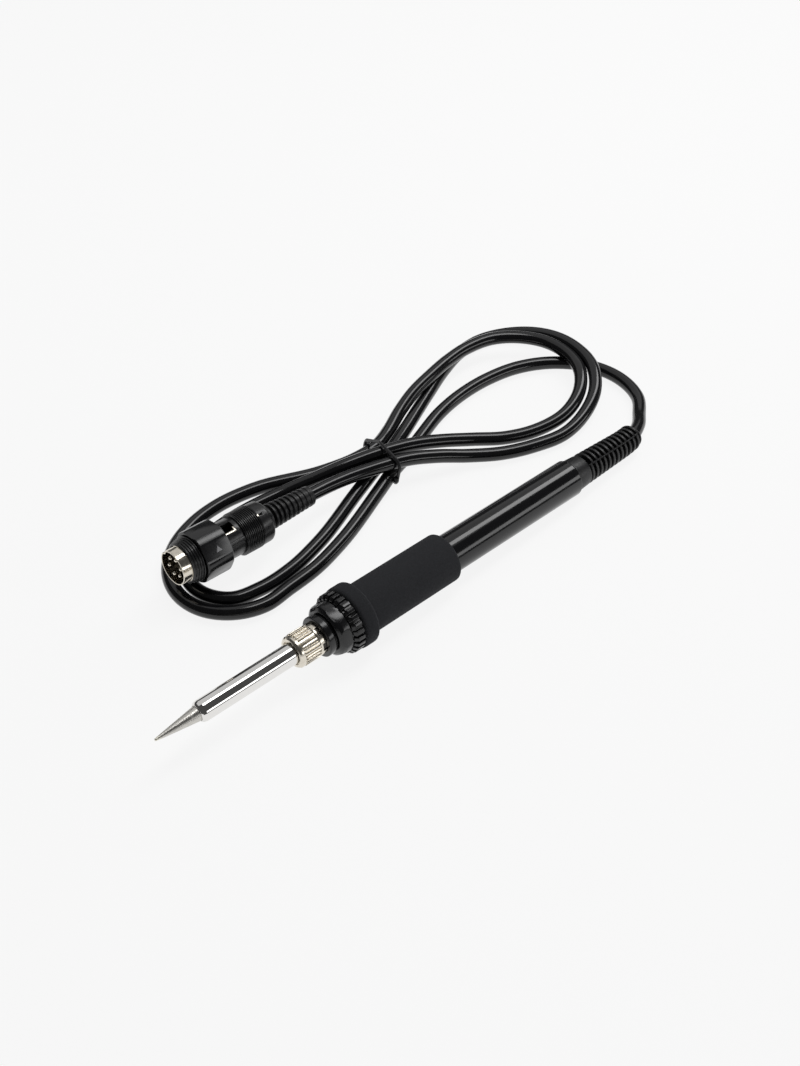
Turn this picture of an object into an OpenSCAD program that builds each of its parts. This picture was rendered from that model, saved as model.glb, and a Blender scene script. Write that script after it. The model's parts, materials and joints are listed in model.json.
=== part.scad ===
// Soldering iron of a soldering station: handpiece, keyed round plug and tied-up cord.
// Millimetres. The iron lies along X, its tip at -X. Z = 0 is the table that it lies on.

/* [Tip and heater] */
// Diameter of the tip's rounded end
tip_point_d = 1; // [0.6:0.1:2]
// Length of the tip in front of its enclosure
tip_reach = 16; // [12:0.5:22]
// Diameter of the tip's cone where it enters the enclosure
tip_cone_d = 5.2; // [4.6:0.1:5.6]
// Diameter of the tip's barrel inside the enclosure
tip_barrel_d = 6.5; // [6.2:0.1:7.5]
// Length of the tip's barrel
tip_barrel_len = 26; // [18:1:34]
// Diameter of the ceramic heater
heater_d = 3.9; // [3.4:0.1:4.4]
// Length of the ceramic heater
heater_len = 66; // [62:1:68]

/* [Tip enclosure and nut] */
// Wall of the enclosure tube
pipe_wall = 0.4; // [0.35:0.05:0.8]
// Length of enclosure between its mouth and the nut
pipe_reach = 38; // [30:1:44]
// Length of the nut
nut_len = 10.5; // [10:0.1:14]
// Wall of the nut around its thread
nut_wall = 0.8; // [0.7:0.1:2]
// Number of knurl grooves on the nut
nut_grooves = 28; // [20:1:36]

/* [Nipple] */
// Diameter of the nipple's body
nipple_d = 19.5; // [19.2:0.1:21]
// Length of the nipple's body between its front groove and its ribs
nipple_body_len = 4.7; // [3.5:0.1:6]
// Diameter of the nipple's ribbed ring
nipple_ring_d = 22.4; // [21.6:0.1:23]
// Length of the nipple's ribbed ring
nipple_ring_len = 4; // [3.5:0.1:5]
// Number of ribs on the nipple's ring
nipple_ribs = 26; // [18:1:32]

/* [Handle] */
// Diameter of the handle
handle_d = 14.6; // [14:0.1:16]
// Wall of the handle
handle_wall = 1.7; // [1.2:0.1:2.2]
// Length of the handle tube
handle_len = 111; // [100:1:130]
// Length of the foam grip
foam_len = 46.5; // [36:0.5:56]
// Length of the foam grip's front flange
foam_flange_len = 6; // [5:0.5:12]
// Diameter of the foam grip's front flange
foam_flange_d = 23.2; // [22.8:0.1:26]
// Foam thickness behind the flange
foam_wall = 2; // [1.5:0.1:3]
// Thickness of the terminal board
board_t = 1.2; // [0.8:0.1:1.6]
// Length of the terminal board
board_len = 25; // [20:1:27]

/* [Cord] */
// Diameter of the cord
cord_d = 5.5; // [4.8:0.1:5.6]
// Length of the boot's smooth collar
boot_collar_len = 7; // [5:0.5:12]
// Length of the boot's straight ribbed stretch
boot_straight_len = 22.5; // [16:0.5:26]
// Number of ribs along each half of the boot
boot_ribs = 12; // [8:1:13]
// Angle that the boot's end is bent to one side
boot_bend = 10; // [8:1:16]

/* [Plug] */
// Outer diameter of the plug's metal shell
shell_d = 13.2; // [13:0.1:13.4]
// Wall of the plug's metal shell
shell_wall = 0.45; // [0.4:0.05:0.6]
// Number of contact pins
pin_count = 6; // [4:1:7]
// Diameter of a contact pin
pin_d = 1.45; // [1.2:0.05:1.6]
// Diameter of the circle that the pins stand on
pin_circle_d = 7; // [6.6:0.1:7.4]
// Diameter of the plug's ridged front ring
front_ring_d = 17.5; // [17:0.1:18.2]
// Diameter of the plug's locking collar over its corners
collar_d = 19.6; // [19:0.1:20]
// Length of the plug's locking collar
collar_len = 11.3; // [9:0.1:13]
// Diameter of the plug's screwed sleeve
sleeve_d = 16.5; // [16:0.1:17.4]
// Length of the plug's screwed sleeve
sleeve_len = 13; // [11:0.5:16]
// Length of the plug's cord boot
plug_boot_len = 22.5; // [16:0.5:24]
// Number of ribs on the plug's cord boot
plug_boot_ribs = 10; // [6:1:11]

/* [Hidden] */
$fn = 64;

// Clearances
run_gap = 0.08;      // round a part that turns on another
face_gap = 0.15;     // between end faces of parts that turn on each other
loose_gap = 0.25;    // round a part that only slides through another
eps = 0.01;          // how far a cutting tool runs past what it cuts

// Tip, enclosure and nut, stations along the iron's axis from the tip's end
heater_gap = 0.15;
tip_gap = 0.175;
lip_len = 1.1;
flange_len = 1;
flange_lip = 1;
nut_front_wall = 2;
nut_recess = 0.5;
nut_recess_len = 0.8;
insert_wall = 1.7;
tip_bore_r = heater_d / 2 + heater_gap;
pipe_bore_r = tip_barrel_d / 2 + tip_gap;
pipe_r = pipe_bore_r + pipe_wall;
pipe_flange_r = pipe_r + flange_lip;
nut_bore_r = pipe_flange_r + loose_gap;
insert_r = nut_bore_r - run_gap;
insert_bore_r = insert_r - insert_wall;
nut_r = nut_bore_r + nut_wall;
mouth_at = tip_reach;
barrel_at = mouth_at + lip_len;
barrel_end = barrel_at + tip_barrel_len;
tip_bore_at = barrel_at + 3;
nut_at = mouth_at + pipe_reach;
nut_end = nut_at + nut_len;
pipe_flange_at = nut_at + nut_front_wall + face_gap;
pipe_end = pipe_flange_at + flange_len;
insert_at = pipe_end + face_gap;
heater_at = tip_bore_at + 1;
heater_end = heater_at + heater_len;

// Nipple and what it holds
nipple_flange_len = 2.6;
nipple_groove_len = 0.8;
nipple_ring_chamfer = 1.2;
nipple_web_len = 4.9;
insert_hold = 4.6;
insert_collar_r = insert_r + 1;
nipple_lip_r = nut_r + 1.6;
nipple_neck_r = nipple_lip_r - 0.7;
nipple_r = nipple_d / 2;
nipple_ring_r = nipple_ring_d / 2;
nipple_at = nut_end + face_gap;
nipple_body_at = nipple_at + nipple_flange_len + nipple_groove_len;
nipple_ring_at = nipple_body_at + nipple_body_len;
nipple_end = nipple_ring_at + nipple_ring_len;
insert_end = nipple_at + insert_hold;
cavity_at = nipple_at + nipple_web_len;
spring_wire_r = 0.35;
spring_r = insert_bore_r - loose_gap - spring_wire_r;
spring_turns = 6;
spring_sides = 6;
spring_steps = 8;
spring_at = insert_at + 1.5;
spring_len = insert_end - spring_at - 2 * spring_wire_r;

// Connection cover, handle and foam
element_collar_len = 1.5;
cover_neck_len = 1.8;
cover_wall = 1.2;
cover_front_wall = 2;
board_groove = 0.3;
board_hold = 1;
lead_free = 4.85;
foam_round = 2;
handle_edge = 0.5;
handle_end_wall = 2.5;
boot_neck_d = 9.2;
handle_r = handle_d / 2;
handle_bore_r = handle_r - handle_wall;
element_collar_at = insert_end + 0.45;
cover_at = element_collar_at + element_collar_len;
cover_thread_r = handle_r + 0.65;
cover_thread_end = nipple_end + 0.2;
handle_at = cover_thread_end + cover_neck_len;
handle_end = handle_at + handle_len;
board_at = heater_end + lead_free;
board_end = board_at + board_len;
cover_end = board_end + board_hold;
cover_bore_r = handle_bore_r - cover_wall;
element_collar_r = cover_bore_r - 0.4;
foam_at = cover_thread_end;
foam_end = foam_at + foam_len;
foam_flange_r = foam_flange_d / 2;
foam_neck_r = handle_r + foam_wall;

// Board, wires and cord inside the handle
board_half = cover_bore_r + board_groove;
lead_r = 0.25;
lead_step = 1;
lead_on_board = 4;
lead_end = board_at + lead_on_board;
wire_r = 0.5;
wire_count = 5;
wire_step = 1.5;
wire_turns = [270, 198, 342, 126, 54];  // where each wire leaves the cord
wire_ring_r = 1.4;
wire_on_board = 3;
wire_end = board_end - wire_on_board;
wire_lift = 0.25;
joint_r = 0.7;
joint_gap = 0.05;
wire_gap = 0.1;
cord_r = cord_d / 2;
inner_cord_len = 43;
stopper_step = 4;
stopper_len = 6;
inner_cord_at = handle_end - inner_cord_len;
stopper_at = inner_cord_at + stopper_step;

// Boot: smooth collar, straight ribs, then ribs on an arc to +Y
boot_head_len = 3.2;
boot_head_r = handle_bore_r - 0.4;
boot_collar_r = handle_r - 0.7;
boot_taper = 0.5;
boot_bend_r = 52;
boot_core_r = cord_r + 1.5;
boot_rib_r1 = boot_collar_r - 0.5;
boot_rib_r2 = boot_core_r + 0.95;
boot_rib_share = 0.45;
boot_web = 0.4;
boot_lip_len = 0.6;
boot_ribs_at = handle_end + boot_collar_len;
boot_bend_at = boot_ribs_at + boot_straight_len;
boot_arc_len = boot_bend_r * boot_bend * PI / 180;
boot_rib_pitch = (boot_straight_len + boot_arc_len) / (boot_ribs + 0.5);
boot_split_turn = 37;   // from straight up, towards -Y
boot_end_t = boot_bend_at + boot_bend_r * sin(boot_bend);
boot_end_y = boot_bend_r * (1 - cos(boot_bend));

// Lie of the iron: it rests on its foam flange and on the handle's rear edge
rest_arm = (handle_end - handle_edge) - (foam_at + foam_flange_len - foam_round);
rest_drop = (handle_r - handle_edge) - (foam_flange_r - foam_round);
lie = asin((foam_round - handle_edge) / norm([rest_arm, rest_drop])) - atan2(rest_drop, rest_arm);
tip_z = (foam_at + foam_flange_len - foam_round) * sin(lie)
    + (foam_flange_r - foam_round) * cos(lie) + foam_round;
boot_edge = (boot_core_r + 0.5) * sqrt(1 - pow(cos(boot_bend) * cos(lie), 2));
tip_x = -(boot_end_t * cos(lie) + boot_edge) / 2;
boot_end = [tip_x + boot_end_t * cos(lie), boot_end_y, tip_z - boot_end_t * sin(lie)];
boot_dir = [cos(boot_bend) * cos(lie), sin(boot_bend), -cos(boot_bend) * sin(lie)];

// Plug: middle of its open face, and its axis, with stations from that face
plug_face = [-68.2, 54.9, 16.5];
plug_turn = 1.4;
plug_dip = 5.3;
key_r = 1.3;
key_sink = 0.6;
shell_seat_step = 0.25;
pin_recess = 0.6;
pin_root_step = 0.2;
shell_len = 16;
insulator_at = 8;
insulator_len = 6;
front_ring_at = 3.6;
front_ring_len = 4.5;
front_ring_small_r = 7.8;
ring_ridges = 5;
ridge_h = 0.35;
body_wall = 1;
collar_flats = 6;
collar_flat_share = 0.935;
neck_len = 7.5;
window_w = 4.6;
window_len = 5;
latch_gap = 0.05;
latch_strip = 0.7;
key_turn = -49;      // from straight up, away from the iron
window_turn = 15;    // from straight up, towards the iron
body_rib_turn = 62;
collar_mark_turn = 51;
sleeve_ridges = 10;
sleeve_wall = 1.6;
sleeve_round = 2.5;
clamp_t = 0.6;
plug_core_r = cord_r + 1;
shell_r = shell_d / 2;
shell_bore_r = shell_r - shell_wall;
shell_seat_r = shell_r + shell_seat_step;
pin_root_r = pin_d / 2 + pin_root_step;
front_ring_end = front_ring_at + front_ring_len;
collar_at = front_ring_end + face_gap;
collar_end = collar_at + collar_len;
collar_mark_at = collar_end - 5.4;
window_at = collar_end + 0.6;
sleeve_at = collar_end + neck_len;
sleeve_end = sleeve_at + sleeve_len;
body_r = shell_r + body_wall;
collar_bore_r = body_r + run_gap;
sleeve_bore_r = sleeve_d / 2 - sleeve_wall;
body_tail_end = sleeve_at + 5;
body_bore_r = sleeve_bore_r - 1;
pin_tail_end = shell_len + 2;
plug_cord_at = body_tail_end + 1;
plug_boot_at = sleeve_end - 2;
plug_boot_end = sleeve_end + plug_boot_len;
plug_rib_pitch = plug_boot_len / (plug_boot_ribs + 0.5);
plug_rib_r1 = 5;
plug_rib_r2 = plug_core_r + 0.2;
plug_dir = [cos(plug_dip) * cos(plug_turn), cos(plug_dip) * sin(plug_turn), -sin(plug_dip)];
plug_boot_tail = plug_face + plug_boot_end * plug_dir;

// Cord route, chosen by hand: middle of the cord, from the boot's end to the plug's boot
on_table = 2.85;
over_cord = 8.3;
in_tie = 4.2;
route = [boot_end, [121, 3.6, 4.9], [128.5, 9, 3.5],
    // right end, under the two turns, to the tie
    [137.6, 17.6, on_table], [141.6, 31.2, on_table], [138.6, 45, on_table],
    [129.4, 56.7, on_table], [116, 64.6, on_table], [101, 67.8, on_table],
    [86, 67.9, on_table], [70, 65.2, on_table], [54, 59.6, on_table],
    [40, 53.8, 3.6], [30, 50.3, in_tie], [20, 46.5, 3.6],
    // left end, outer strand, past the plug's face and back to the tie
    [-10, 35.4, on_table], [-24, 32, on_table], [-37, 30.9, on_table],
    [-48.5, 30.4, on_table], [-59, 35.2, on_table], [-66.1, 44.3, on_table],
    [-67.7, 55.6, on_table], [-63.6, 66.6, on_table], [-55, 75, on_table],
    [-43, 80.4, on_table], [-29, 82.2, on_table], [-15, 80.4, on_table],
    [12, 69.6, 3.2], [24, 66.2, 4], [35, 66, in_tie],
    // over the other turn, right end, inner strand
    [46.5, 70.4, 3.6], [57, 75, 5.2], [67, 78, 7.4], [79, 80.6, over_cord],
    [92, 83.2, over_cord], [105, 84, over_cord], [117, 81.4, over_cord],
    [126.5, 74, over_cord], [132.2, 63.5, over_cord], [132.4, 51.8, over_cord],
    [127.5, 40.9, over_cord], [118.4, 33, 6.6], [105, 29, 4.4], [91.5, 31, on_table],
    [78.6, 36, 3], [66.5, 43.2, 4.6], [54.5, 48.8, 7.2], [43, 53.2, 9.2],
    // over the tie's crossing, behind the plug and under it
    [31, 57.2, 9.7], [18, 61.4, 8.8], [4, 66.2, 6.2], [-10, 70.9, 3.6],
    [-24, 72.9, on_table], [-37, 72.3, on_table], [-48.4, 70, on_table],
    [-56.8, 65.2, on_table], [-61.3, 57, on_table], [-60.6, 47.9, on_table],
    [-55.2, 40.5, on_table], [-45, 37.5, on_table], [-31, 37.6, on_table],
    [-16, 40.9, on_table], [14, 52, 3.4], [26, 56, in_tie],
    [37, 59.7, 4], [48, 64.8, 3.2],
    // right end, outer strand
    [76, 78, on_table], [91, 84.6, on_table], [105, 88.9, on_table],
    [118, 89.2, on_table], [128.7, 84.8, 3.2], [135.6, 75.8, 5.2], [138.6, 64, 7.4],
    [138, 51.5, over_cord], [133.4, 39.1, over_cord], [124.4, 29.6, 6.4],
    [111.6, 23.8, 4.2], [97.6, 21.9, on_table], [84, 24.8, on_table], [71, 30.2, 3],
    // over the tie's crossing to the plug
    [58.5, 37.4, 4.4], [47, 43, 7.4], [36, 47.6, 9.5], [24.5, 51.5, 9.9],
    [10, 55.6, 9.6], plug_boot_tail];
cord_sides = 8;

// Tie round the bundle of five strands
tie_at = [31.4, 58, 0];
tie_turn = -10;
tie_w = 1.6;
tie_t = 1.2;
// Corners of the space inside the tie: sideways from its middle, then up, at the strands' middles
tie_corners = [[-9, 9.6], [-0.8, 9.6], [8.2, in_tie], [-7.8, in_tie]];
tie_clear = 0.8;

// Places

// Stands its children on the iron's axis, +Z from the tip's end to the cord
module along_iron() {
    translate([tip_x, 0, tip_z]) rotate([0, 90 + lie, 0]) children();
}

// Stands its children on the plug's axis, +Z from its open face to the cord
module along_plug() {
    translate(plug_face) rotate([0, 0, plug_turn]) rotate([0, 90 + plug_dip, 0]) children();
}

// Shapes

// A solid disc or rod between two stations
module rod(at, end, r) {
    translate([0, 0, at]) cylinder(r = r, h = end - at);
}

// A cone between two stations
module taper(at, end, r1, r2) {
    translate([0, 0, at]) cylinder(r1 = r1, r2 = r2, h = end - at);
}

// A tube between two stations
module tube(at, end, r, bore_r) {
    difference() {
        rod(at, end, r);
        rod(at - eps, end + eps, bore_r);
    }
}

// Half of a section with its outer corners rounded, to be turned about the axis
module round_section(at, end, r, corner) {
    translate([0, at]) square([r - corner, end - at]);
    translate([0, at + corner]) square([r, end - at - 2 * corner]);
    translate([r - corner, at + corner]) circle(r = corner);
    translate([r - corner, end - corner]) circle(r = corner);
}

// Keeps a section on the outer side of the axis
module turned() {
    rotate_extrude() intersection() {
        children();
        square([100, 400]);
    }
}

// Copies its children evenly about the axis
module ring_of(count, first = 0) {
    for (i = [0:count - 1]) rotate([0, 0, first + i * 360 / count]) children();
}

// A rod from one point to another
module rod_between(a, b, r) {
    d = b - a;
    translate(a) rotate([0, acos(d[2] / norm(d)), atan2(d[1], d[0])]) cylinder(r = r, h = norm(d));
}

// The ribs' radius falls evenly along the boot
function rib_r(i) = boot_rib_r1 + (boot_rib_r2 - boot_rib_r1) * i / (boot_ribs - 1);

// Directions along a list of points, with the first and last ones given
function unit(v) = v / norm(v);
function heading(pts, i, first, last) =
    i == 0 ? unit(first) : i == len(pts) - 1 ? unit(last) : unit(pts[i + 1] - pts[i - 1]);

// A ring of points about a middle, level on the table side
function ring_points(middle, dir, r, sides) = let(
    side = unit(cross(dir, [0, 0, 1])),
    up = cross(side, dir)
) [for (k = [0:sides - 1]) let(a = (k + 0.5) * 360 / sides)
    middle + r * (cos(a) * side + sin(a) * up)];

// A closed tube of flat faces swept along points
module swept_tube(pts, r, sides, first, last) {
    rings = len(pts);
    corners = [for (i = [0:rings - 1])
        each ring_points(pts[i], heading(pts, i, first, last), r, sides)];
    walls = [for (i = [0:rings - 2]) for (k = [0:sides - 1]) let(
            a = i * sides + k,
            b = i * sides + (k + 1) % sides
        ) each [[a, b, b + sides], [a, b + sides, a + sides]]];
    front = [[for (k = [0:sides - 1]) sides - 1 - k]];
    back = [[for (k = [0:sides - 1]) (rings - 1) * sides + k]];
    polyhedron(points = corners, faces = concat(front, walls, back), convexity = 10);
}

// Iron: tip, enclosure, nut

module tip() {
    point_r = tip_point_d / 2;
    color("gainsboro") along_iron() difference() {
        union() {
            translate([0, 0, point_r]) sphere(r = point_r);
            taper(point_r, 0.4 * tip_reach, point_r, 0.26 * tip_cone_d);
            taper(0.4 * tip_reach, mouth_at, 0.26 * tip_cone_d, tip_cone_d / 2);
            rod(mouth_at, barrel_at, tip_cone_d / 2);
            rod(barrel_at, barrel_end - 0.5, tip_barrel_d / 2);
            taper(barrel_end - 0.5, barrel_end, tip_barrel_d / 2, tip_barrel_d / 2 - 0.4);
        }
        rod(tip_bore_at, barrel_end + eps, tip_bore_r);
    }
}

module tip_enclosure() {
    shoulder = 1.7;
    color("silver") along_iron() difference() {
        union() {
            taper(mouth_at, mouth_at + 0.3 * shoulder, pipe_r - 0.75, pipe_r - 0.35);
            taper(mouth_at + 0.3 * shoulder, mouth_at + shoulder, pipe_r - 0.35, pipe_r);
            rod(mouth_at + shoulder, pipe_end, pipe_r);
            rod(pipe_flange_at, pipe_end, pipe_flange_r);
        }
        rod(mouth_at - eps, pipe_end + eps, tip_cone_d / 2 + 0.1);
        rod(barrel_at, pipe_end + eps, pipe_bore_r);
    }
}

module enclosure_nut() {
    chamfer = 0.8;
    knurl_at = nut_at + 1.9;
    knurl_end = nut_end - 2.2;
    knurl_r = 0.3;
    notches = 6;
    color("wheat") along_iron() difference() {
        union() {
            taper(nut_at, nut_at + chamfer, nut_r - 0.6, nut_r);
            rod(nut_at + chamfer, nut_end, nut_r);
        }
        rod(nut_at - eps, nut_end, pipe_r + run_gap);
        rod(nut_at - eps, nut_at + nut_recess_len, pipe_r + nut_recess);
        rod(nut_at + nut_front_wall, nut_end + eps, nut_bore_r);
        ring_of(nut_grooves) translate([nut_r, 0, 0]) rod(knurl_at, knurl_end, knurl_r);
        ring_of(notches) translate([nut_r - 0.4, -1.1, nut_end - 1.6]) cube([2, 2.2, 2]);
    }
}

// Iron: nipple and what it carries

module nipple() {
    groove_r = 0.62;
    flats = 6;
    color("#1c1d1f") along_iron() difference() {
        union() {
            turned() round_section(nipple_at, nipple_at + nipple_flange_len, nipple_lip_r, 0.5);
            rod(nipple_at + 1, nipple_body_at + 1, nipple_neck_r);
            taper(nipple_body_at, nipple_body_at + 0.9, nipple_r - 1.5, nipple_r - 0.5);
            taper(nipple_body_at + 0.9, nipple_body_at + 2, nipple_r - 0.5, nipple_r);
            rod(nipple_body_at + 2, nipple_ring_at, nipple_r);
            taper(nipple_ring_at, nipple_ring_at + nipple_ring_chamfer, nipple_ring_r - 1.1, nipple_ring_r);
            rod(nipple_ring_at + nipple_ring_chamfer, nipple_end, nipple_ring_r);
        }
        rod(nipple_at - eps, cavity_at + eps, insert_r);
        rod(nipple_at + 1, insert_end, insert_collar_r);
        rod(cavity_at, nipple_end + eps, cover_thread_r + run_gap);
        rod(insert_end - eps, cavity_at + eps, element_collar_r + loose_gap);
        ring_of(nipple_ribs) translate([nipple_ring_r, 0, 0])
            rod(nipple_ring_at + 0.4, nipple_end + eps, groove_r);
        ring_of(flats) translate([nipple_r - 0.55, 0, nipple_body_at + 2.3])
            rotate([0, 10, 0]) rotate([24, 0, 0]) translate([0, -6, -4]) cube([4, 12, 5.8]);
    }
}

module nipple_insert() {
    color("tan") along_iron() difference() {
        union() {
            rod(insert_at, insert_end, insert_r);
            rod(nipple_at + 1, insert_end, insert_collar_r);
        }
        rod(insert_at - eps, insert_end + eps, insert_bore_r);
    }
}

module ground_spring() {
    steps = spring_turns * spring_steps;
    pts = [for (i = [0:steps]) let(a = i * 360 / spring_steps)
        [spring_r * cos(a), spring_r * sin(a), spring_at + spring_wire_r + spring_len * i / steps]];
    color("silver") along_iron()
        swept_tube(pts, spring_wire_r, spring_sides, pts[1] - pts[0], pts[steps] - pts[steps - 1]);
}

// Iron: heater and board

module heating_element() {
    color("ivory") along_iron() rod(heater_at, heater_end, heater_d / 2);
}

module element_collar() {
    color("silver") along_iron()
        tube(element_collar_at, cover_at, element_collar_r, heater_d / 2);
}

module heater_leads() {
    color("silver") along_iron() for (i = [-1.5:1:1.5])
        translate([-board_t / 2 - lead_r, i * lead_step, 0]) rod(heater_end, lead_end, lead_r);
}

module terminal_board() {
    color("darkolivegreen") along_iron()
        translate([-board_t / 2, -board_half, board_at]) cube([board_t, 2 * board_half, board_len]);
}

// Where the cord's wires end on the board
wire_spots = [for (i = [0:wire_count - 1])
    [-board_t / 2, (i - (wire_count - 1) / 2) * wire_step, wire_end]];

module solder_joints() {
    color("lightgray") along_iron() {
        for (i = [-1.5:1:1.5]) translate([-board_t / 2, i * lead_step, lead_end])
            solder_dot(lead_step / 2 - 0.02);
        for (p = wire_spots) translate(p - [0, 0, joint_gap]) mirror([0, 0, 1]) solder_dot(joint_r);
    }
}

// Half a ball of solder on the board, just behind the end of the wire
module solder_dot(r) {
    intersection() {
        translate([0, 0, r]) sphere(r = r);
        translate([-2 * r, -r, 0]) cube([2 * r, 2 * r, 2 * r]);
    }
}

module connection_cover() {
    color("dimgray") along_iron() difference() {
        union() {
            rod(cover_at, cover_thread_end, cover_thread_r);
            rod(cover_thread_end, handle_at, handle_r);
            rod(handle_at, cover_end, handle_bore_r);
        }
        rod(cover_at - eps, cover_at + cover_front_wall + eps, heater_d / 2 + loose_gap);
        rod(cover_at + cover_front_wall, cover_end + eps, cover_bore_r);
        translate([-board_t / 2, -board_half, board_at])
            cube([board_t, 2 * board_half, cover_end - board_at + eps]);
    }
}

// Iron: handle, grip and boot

module handle() {
    color("#111214") along_iron() difference() {
        turned() {
            round_section(handle_at + 1, handle_end, handle_r, handle_edge);
            translate([0, handle_at]) square([handle_r, 2]);
        }
        rod(handle_at - eps, handle_end - handle_end_wall, handle_bore_r);
        rod(handle_at, handle_end + eps, boot_neck_d / 2);
    }
}

module foam_grip() {
    color("#2b2c30") along_iron() difference() {
        turned() {
            round_section(foam_at, foam_at + foam_flange_len, foam_flange_r, foam_round);
            round_section(foam_at + 2 * foam_round, foam_end, foam_neck_r, foam_wall - 0.1);
        }
        rod(foam_at - eps, foam_end + eps, handle_r);
    }
}

module handle_wires() {
    color("firebrick") along_iron() for (i = [0:wire_count - 1]) {
        a = wire_turns[i];
        rod_between([wire_ring_r * cos(a), wire_ring_r * sin(a), inner_cord_at],
            wire_spots[i] - [wire_r + wire_lift, 0, 0], wire_r);
    }
}

module cord_stopper() {
    color("dimgray") along_iron()
        tube(stopper_at, stopper_at + stopper_len, handle_bore_r, cord_r);
}

// The boot's bent stretch: a round section turned about the middle of its arc
module bent_rod(r) {
    translate([0, boot_bend_r, boot_bend_at]) rotate([0, -90, 0]) rotate([0, 0, -90])
        rotate_extrude(angle = boot_bend) translate([boot_bend_r, 0]) circle(r = r);
}

// Puts its children at a length along the boot's straight and then bent stretch
module along_boot(len) {
    over = max(0, len - boot_straight_len);
    turn = over / boot_bend_r * 180 / PI;
    translate([0, boot_bend_r, boot_ribs_at + min(len, boot_straight_len)])
        rotate([-turn, 0, 0]) translate([0, -boot_bend_r, 0]) children();
}

module boot_core(r) {
    rod(boot_ribs_at - eps, boot_bend_at, r);
    bent_rod(r);
}

// One half of the boot's ribs: a stack of discs on one side of the split
module boot_rib_half(shift, turn) {
    for (i = [0:boot_ribs - 1]) along_boot((i + shift) * boot_rib_pitch)
        intersection() {
            cylinder(r = rib_r(i), h = boot_rib_share * boot_rib_pitch);
            rotate([0, 0, turn]) translate([-boot_web, -2 * boot_rib_r1, -1])
                cube([2 * boot_rib_r1, 4 * boot_rib_r1, 2 * boot_rib_r1]);
        }
}

module cord_boot() {
    color("#202123") along_iron() difference() {
        union() {
            rod(handle_end - handle_end_wall - boot_head_len, handle_end - handle_end_wall, boot_head_r);
            rod(handle_end - handle_end_wall, handle_end, boot_neck_d / 2);
            taper(handle_end, boot_ribs_at, boot_collar_r, boot_collar_r - boot_taper);
            boot_core(boot_core_r);
            boot_rib_half(0.7, 90 + boot_split_turn);
            boot_rib_half(0.2, 270 + boot_split_turn);
            along_boot(boot_straight_len + boot_arc_len) rod(-boot_lip_len, 0, boot_core_r + 0.5);
        }
        rod(handle_end - handle_end_wall - boot_head_len - eps, boot_bend_at, cord_r);
        bent_rod(cord_r);
        along_boot(boot_straight_len + boot_arc_len - eps) cylinder(r = cord_r, h = boot_rib_pitch);
    }
}

module cord_in_handle() {
    color("#17181a") along_iron() {
        rod(inner_cord_at, boot_bend_at, cord_r);
        bent_rod(cord_r);
    }
}

// Cord and its tie

module cord() {
    color("#17181a") swept_tube(route, cord_r, cord_sides, boot_dir, -plug_dir);
}

module tie_outline(grow) {
    hull() for (c = tie_corners) translate(c) circle(r = cord_r + tie_clear + grow, $fn = 24);
}

module cord_tie() {
    color("#17181a") translate(tie_at) rotate([0, 0, tie_turn]) rotate([90, 0, 90])
        linear_extrude(height = tie_w, center = true) difference() {
            intersection() {
                tie_outline(tie_t);
                translate([-50, 0]) square([100, 50]);
            }
            intersection() {
                tie_outline(0);
                translate([-50, tie_t]) square([100, 50]);
            }
        }
}

// Plug

module plug_shell() {
    key_at = [-(shell_r + key_r - key_sink), 0, 0];
    color("silver") along_plug() rotate([0, 0, key_turn]) {
        difference() {
            union() {
                rod(0, shell_len, shell_r);
                rod(front_ring_at, shell_len, shell_seat_r);
            }
            rod(-eps, shell_len + eps, shell_bore_r);
            translate(key_at) rod(-1, shell_len + 1, key_r + shell_wall / 2);
        }
        intersection() {
            translate(key_at) tube(0, shell_len, key_r + shell_wall, key_r);
            rod(0, shell_len, shell_r - shell_wall / 2);
        }
    }
}

module plug_insulator() {
    key_at = [-(shell_r + key_r - key_sink), 0, 0];
    color("#141414") along_plug() rotate([0, 0, key_turn]) difference() {
        rod(insulator_at, insulator_at + insulator_len, shell_bore_r);
        translate(key_at) rod(0, shell_len, key_r + shell_wall);
        ring_of(pin_count) translate([-pin_circle_d / 2, 0, 0]) rod(0, shell_len + 1, pin_root_r);
    }
}

module plug_pins() {
    nose = 0.4;
    color("gold") along_plug() ring_of(pin_count, key_turn) translate([-pin_circle_d / 2, 0, 0]) {
        taper(pin_recess, pin_recess + nose, pin_d / 2 - 0.35, pin_d / 2);
        rod(pin_recess + nose, insulator_at, pin_d / 2);
        rod(insulator_at, pin_tail_end, pin_root_r);
    }
}

module plug_front_ring() {
    pitch = front_ring_len / ring_ridges;
    color("#1b1c1e") along_plug() difference() {
        union() {
            taper(front_ring_at, front_ring_end, front_ring_small_r - ridge_h, front_ring_d / 2 - ridge_h);
            for (i = [0:ring_ridges - 1])
                rod(front_ring_at + (i + 0.2) * pitch, front_ring_at + (i + 0.75) * pitch,
                    front_ring_small_r + (front_ring_d / 2 - front_ring_small_r) * (i + 1) / ring_ridges);
        }
        rod(front_ring_at - eps, collar_at, shell_seat_r);
    }
}

module plug_body() {
    slot_r = body_r - 0.35;
    color("#1b1c1e") along_plug() difference() {
        union() {
            rod(front_ring_end, collar_end + face_gap, body_r);
            rod(collar_end + face_gap, sleeve_at, slot_r);
            rod(sleeve_at, body_tail_end, sleeve_bore_r);
            ring_of(2, 180 + body_rib_turn)
                translate([slot_r - 0.6, -0.7, collar_end + face_gap + 0.3])
                    cube([1.1, 1.4, sleeve_at - collar_end - face_gap - 0.6]);
        }
        rod(front_ring_end - eps, shell_len, shell_seat_r);
        rod(shell_len - eps, body_tail_end + eps, body_bore_r);
        rotate([0, 0, 180 + window_turn])
            translate([body_bore_r - 0.5, -window_w / 2, window_at]) cube([body_r, window_w, window_len]);
    }
}

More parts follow.
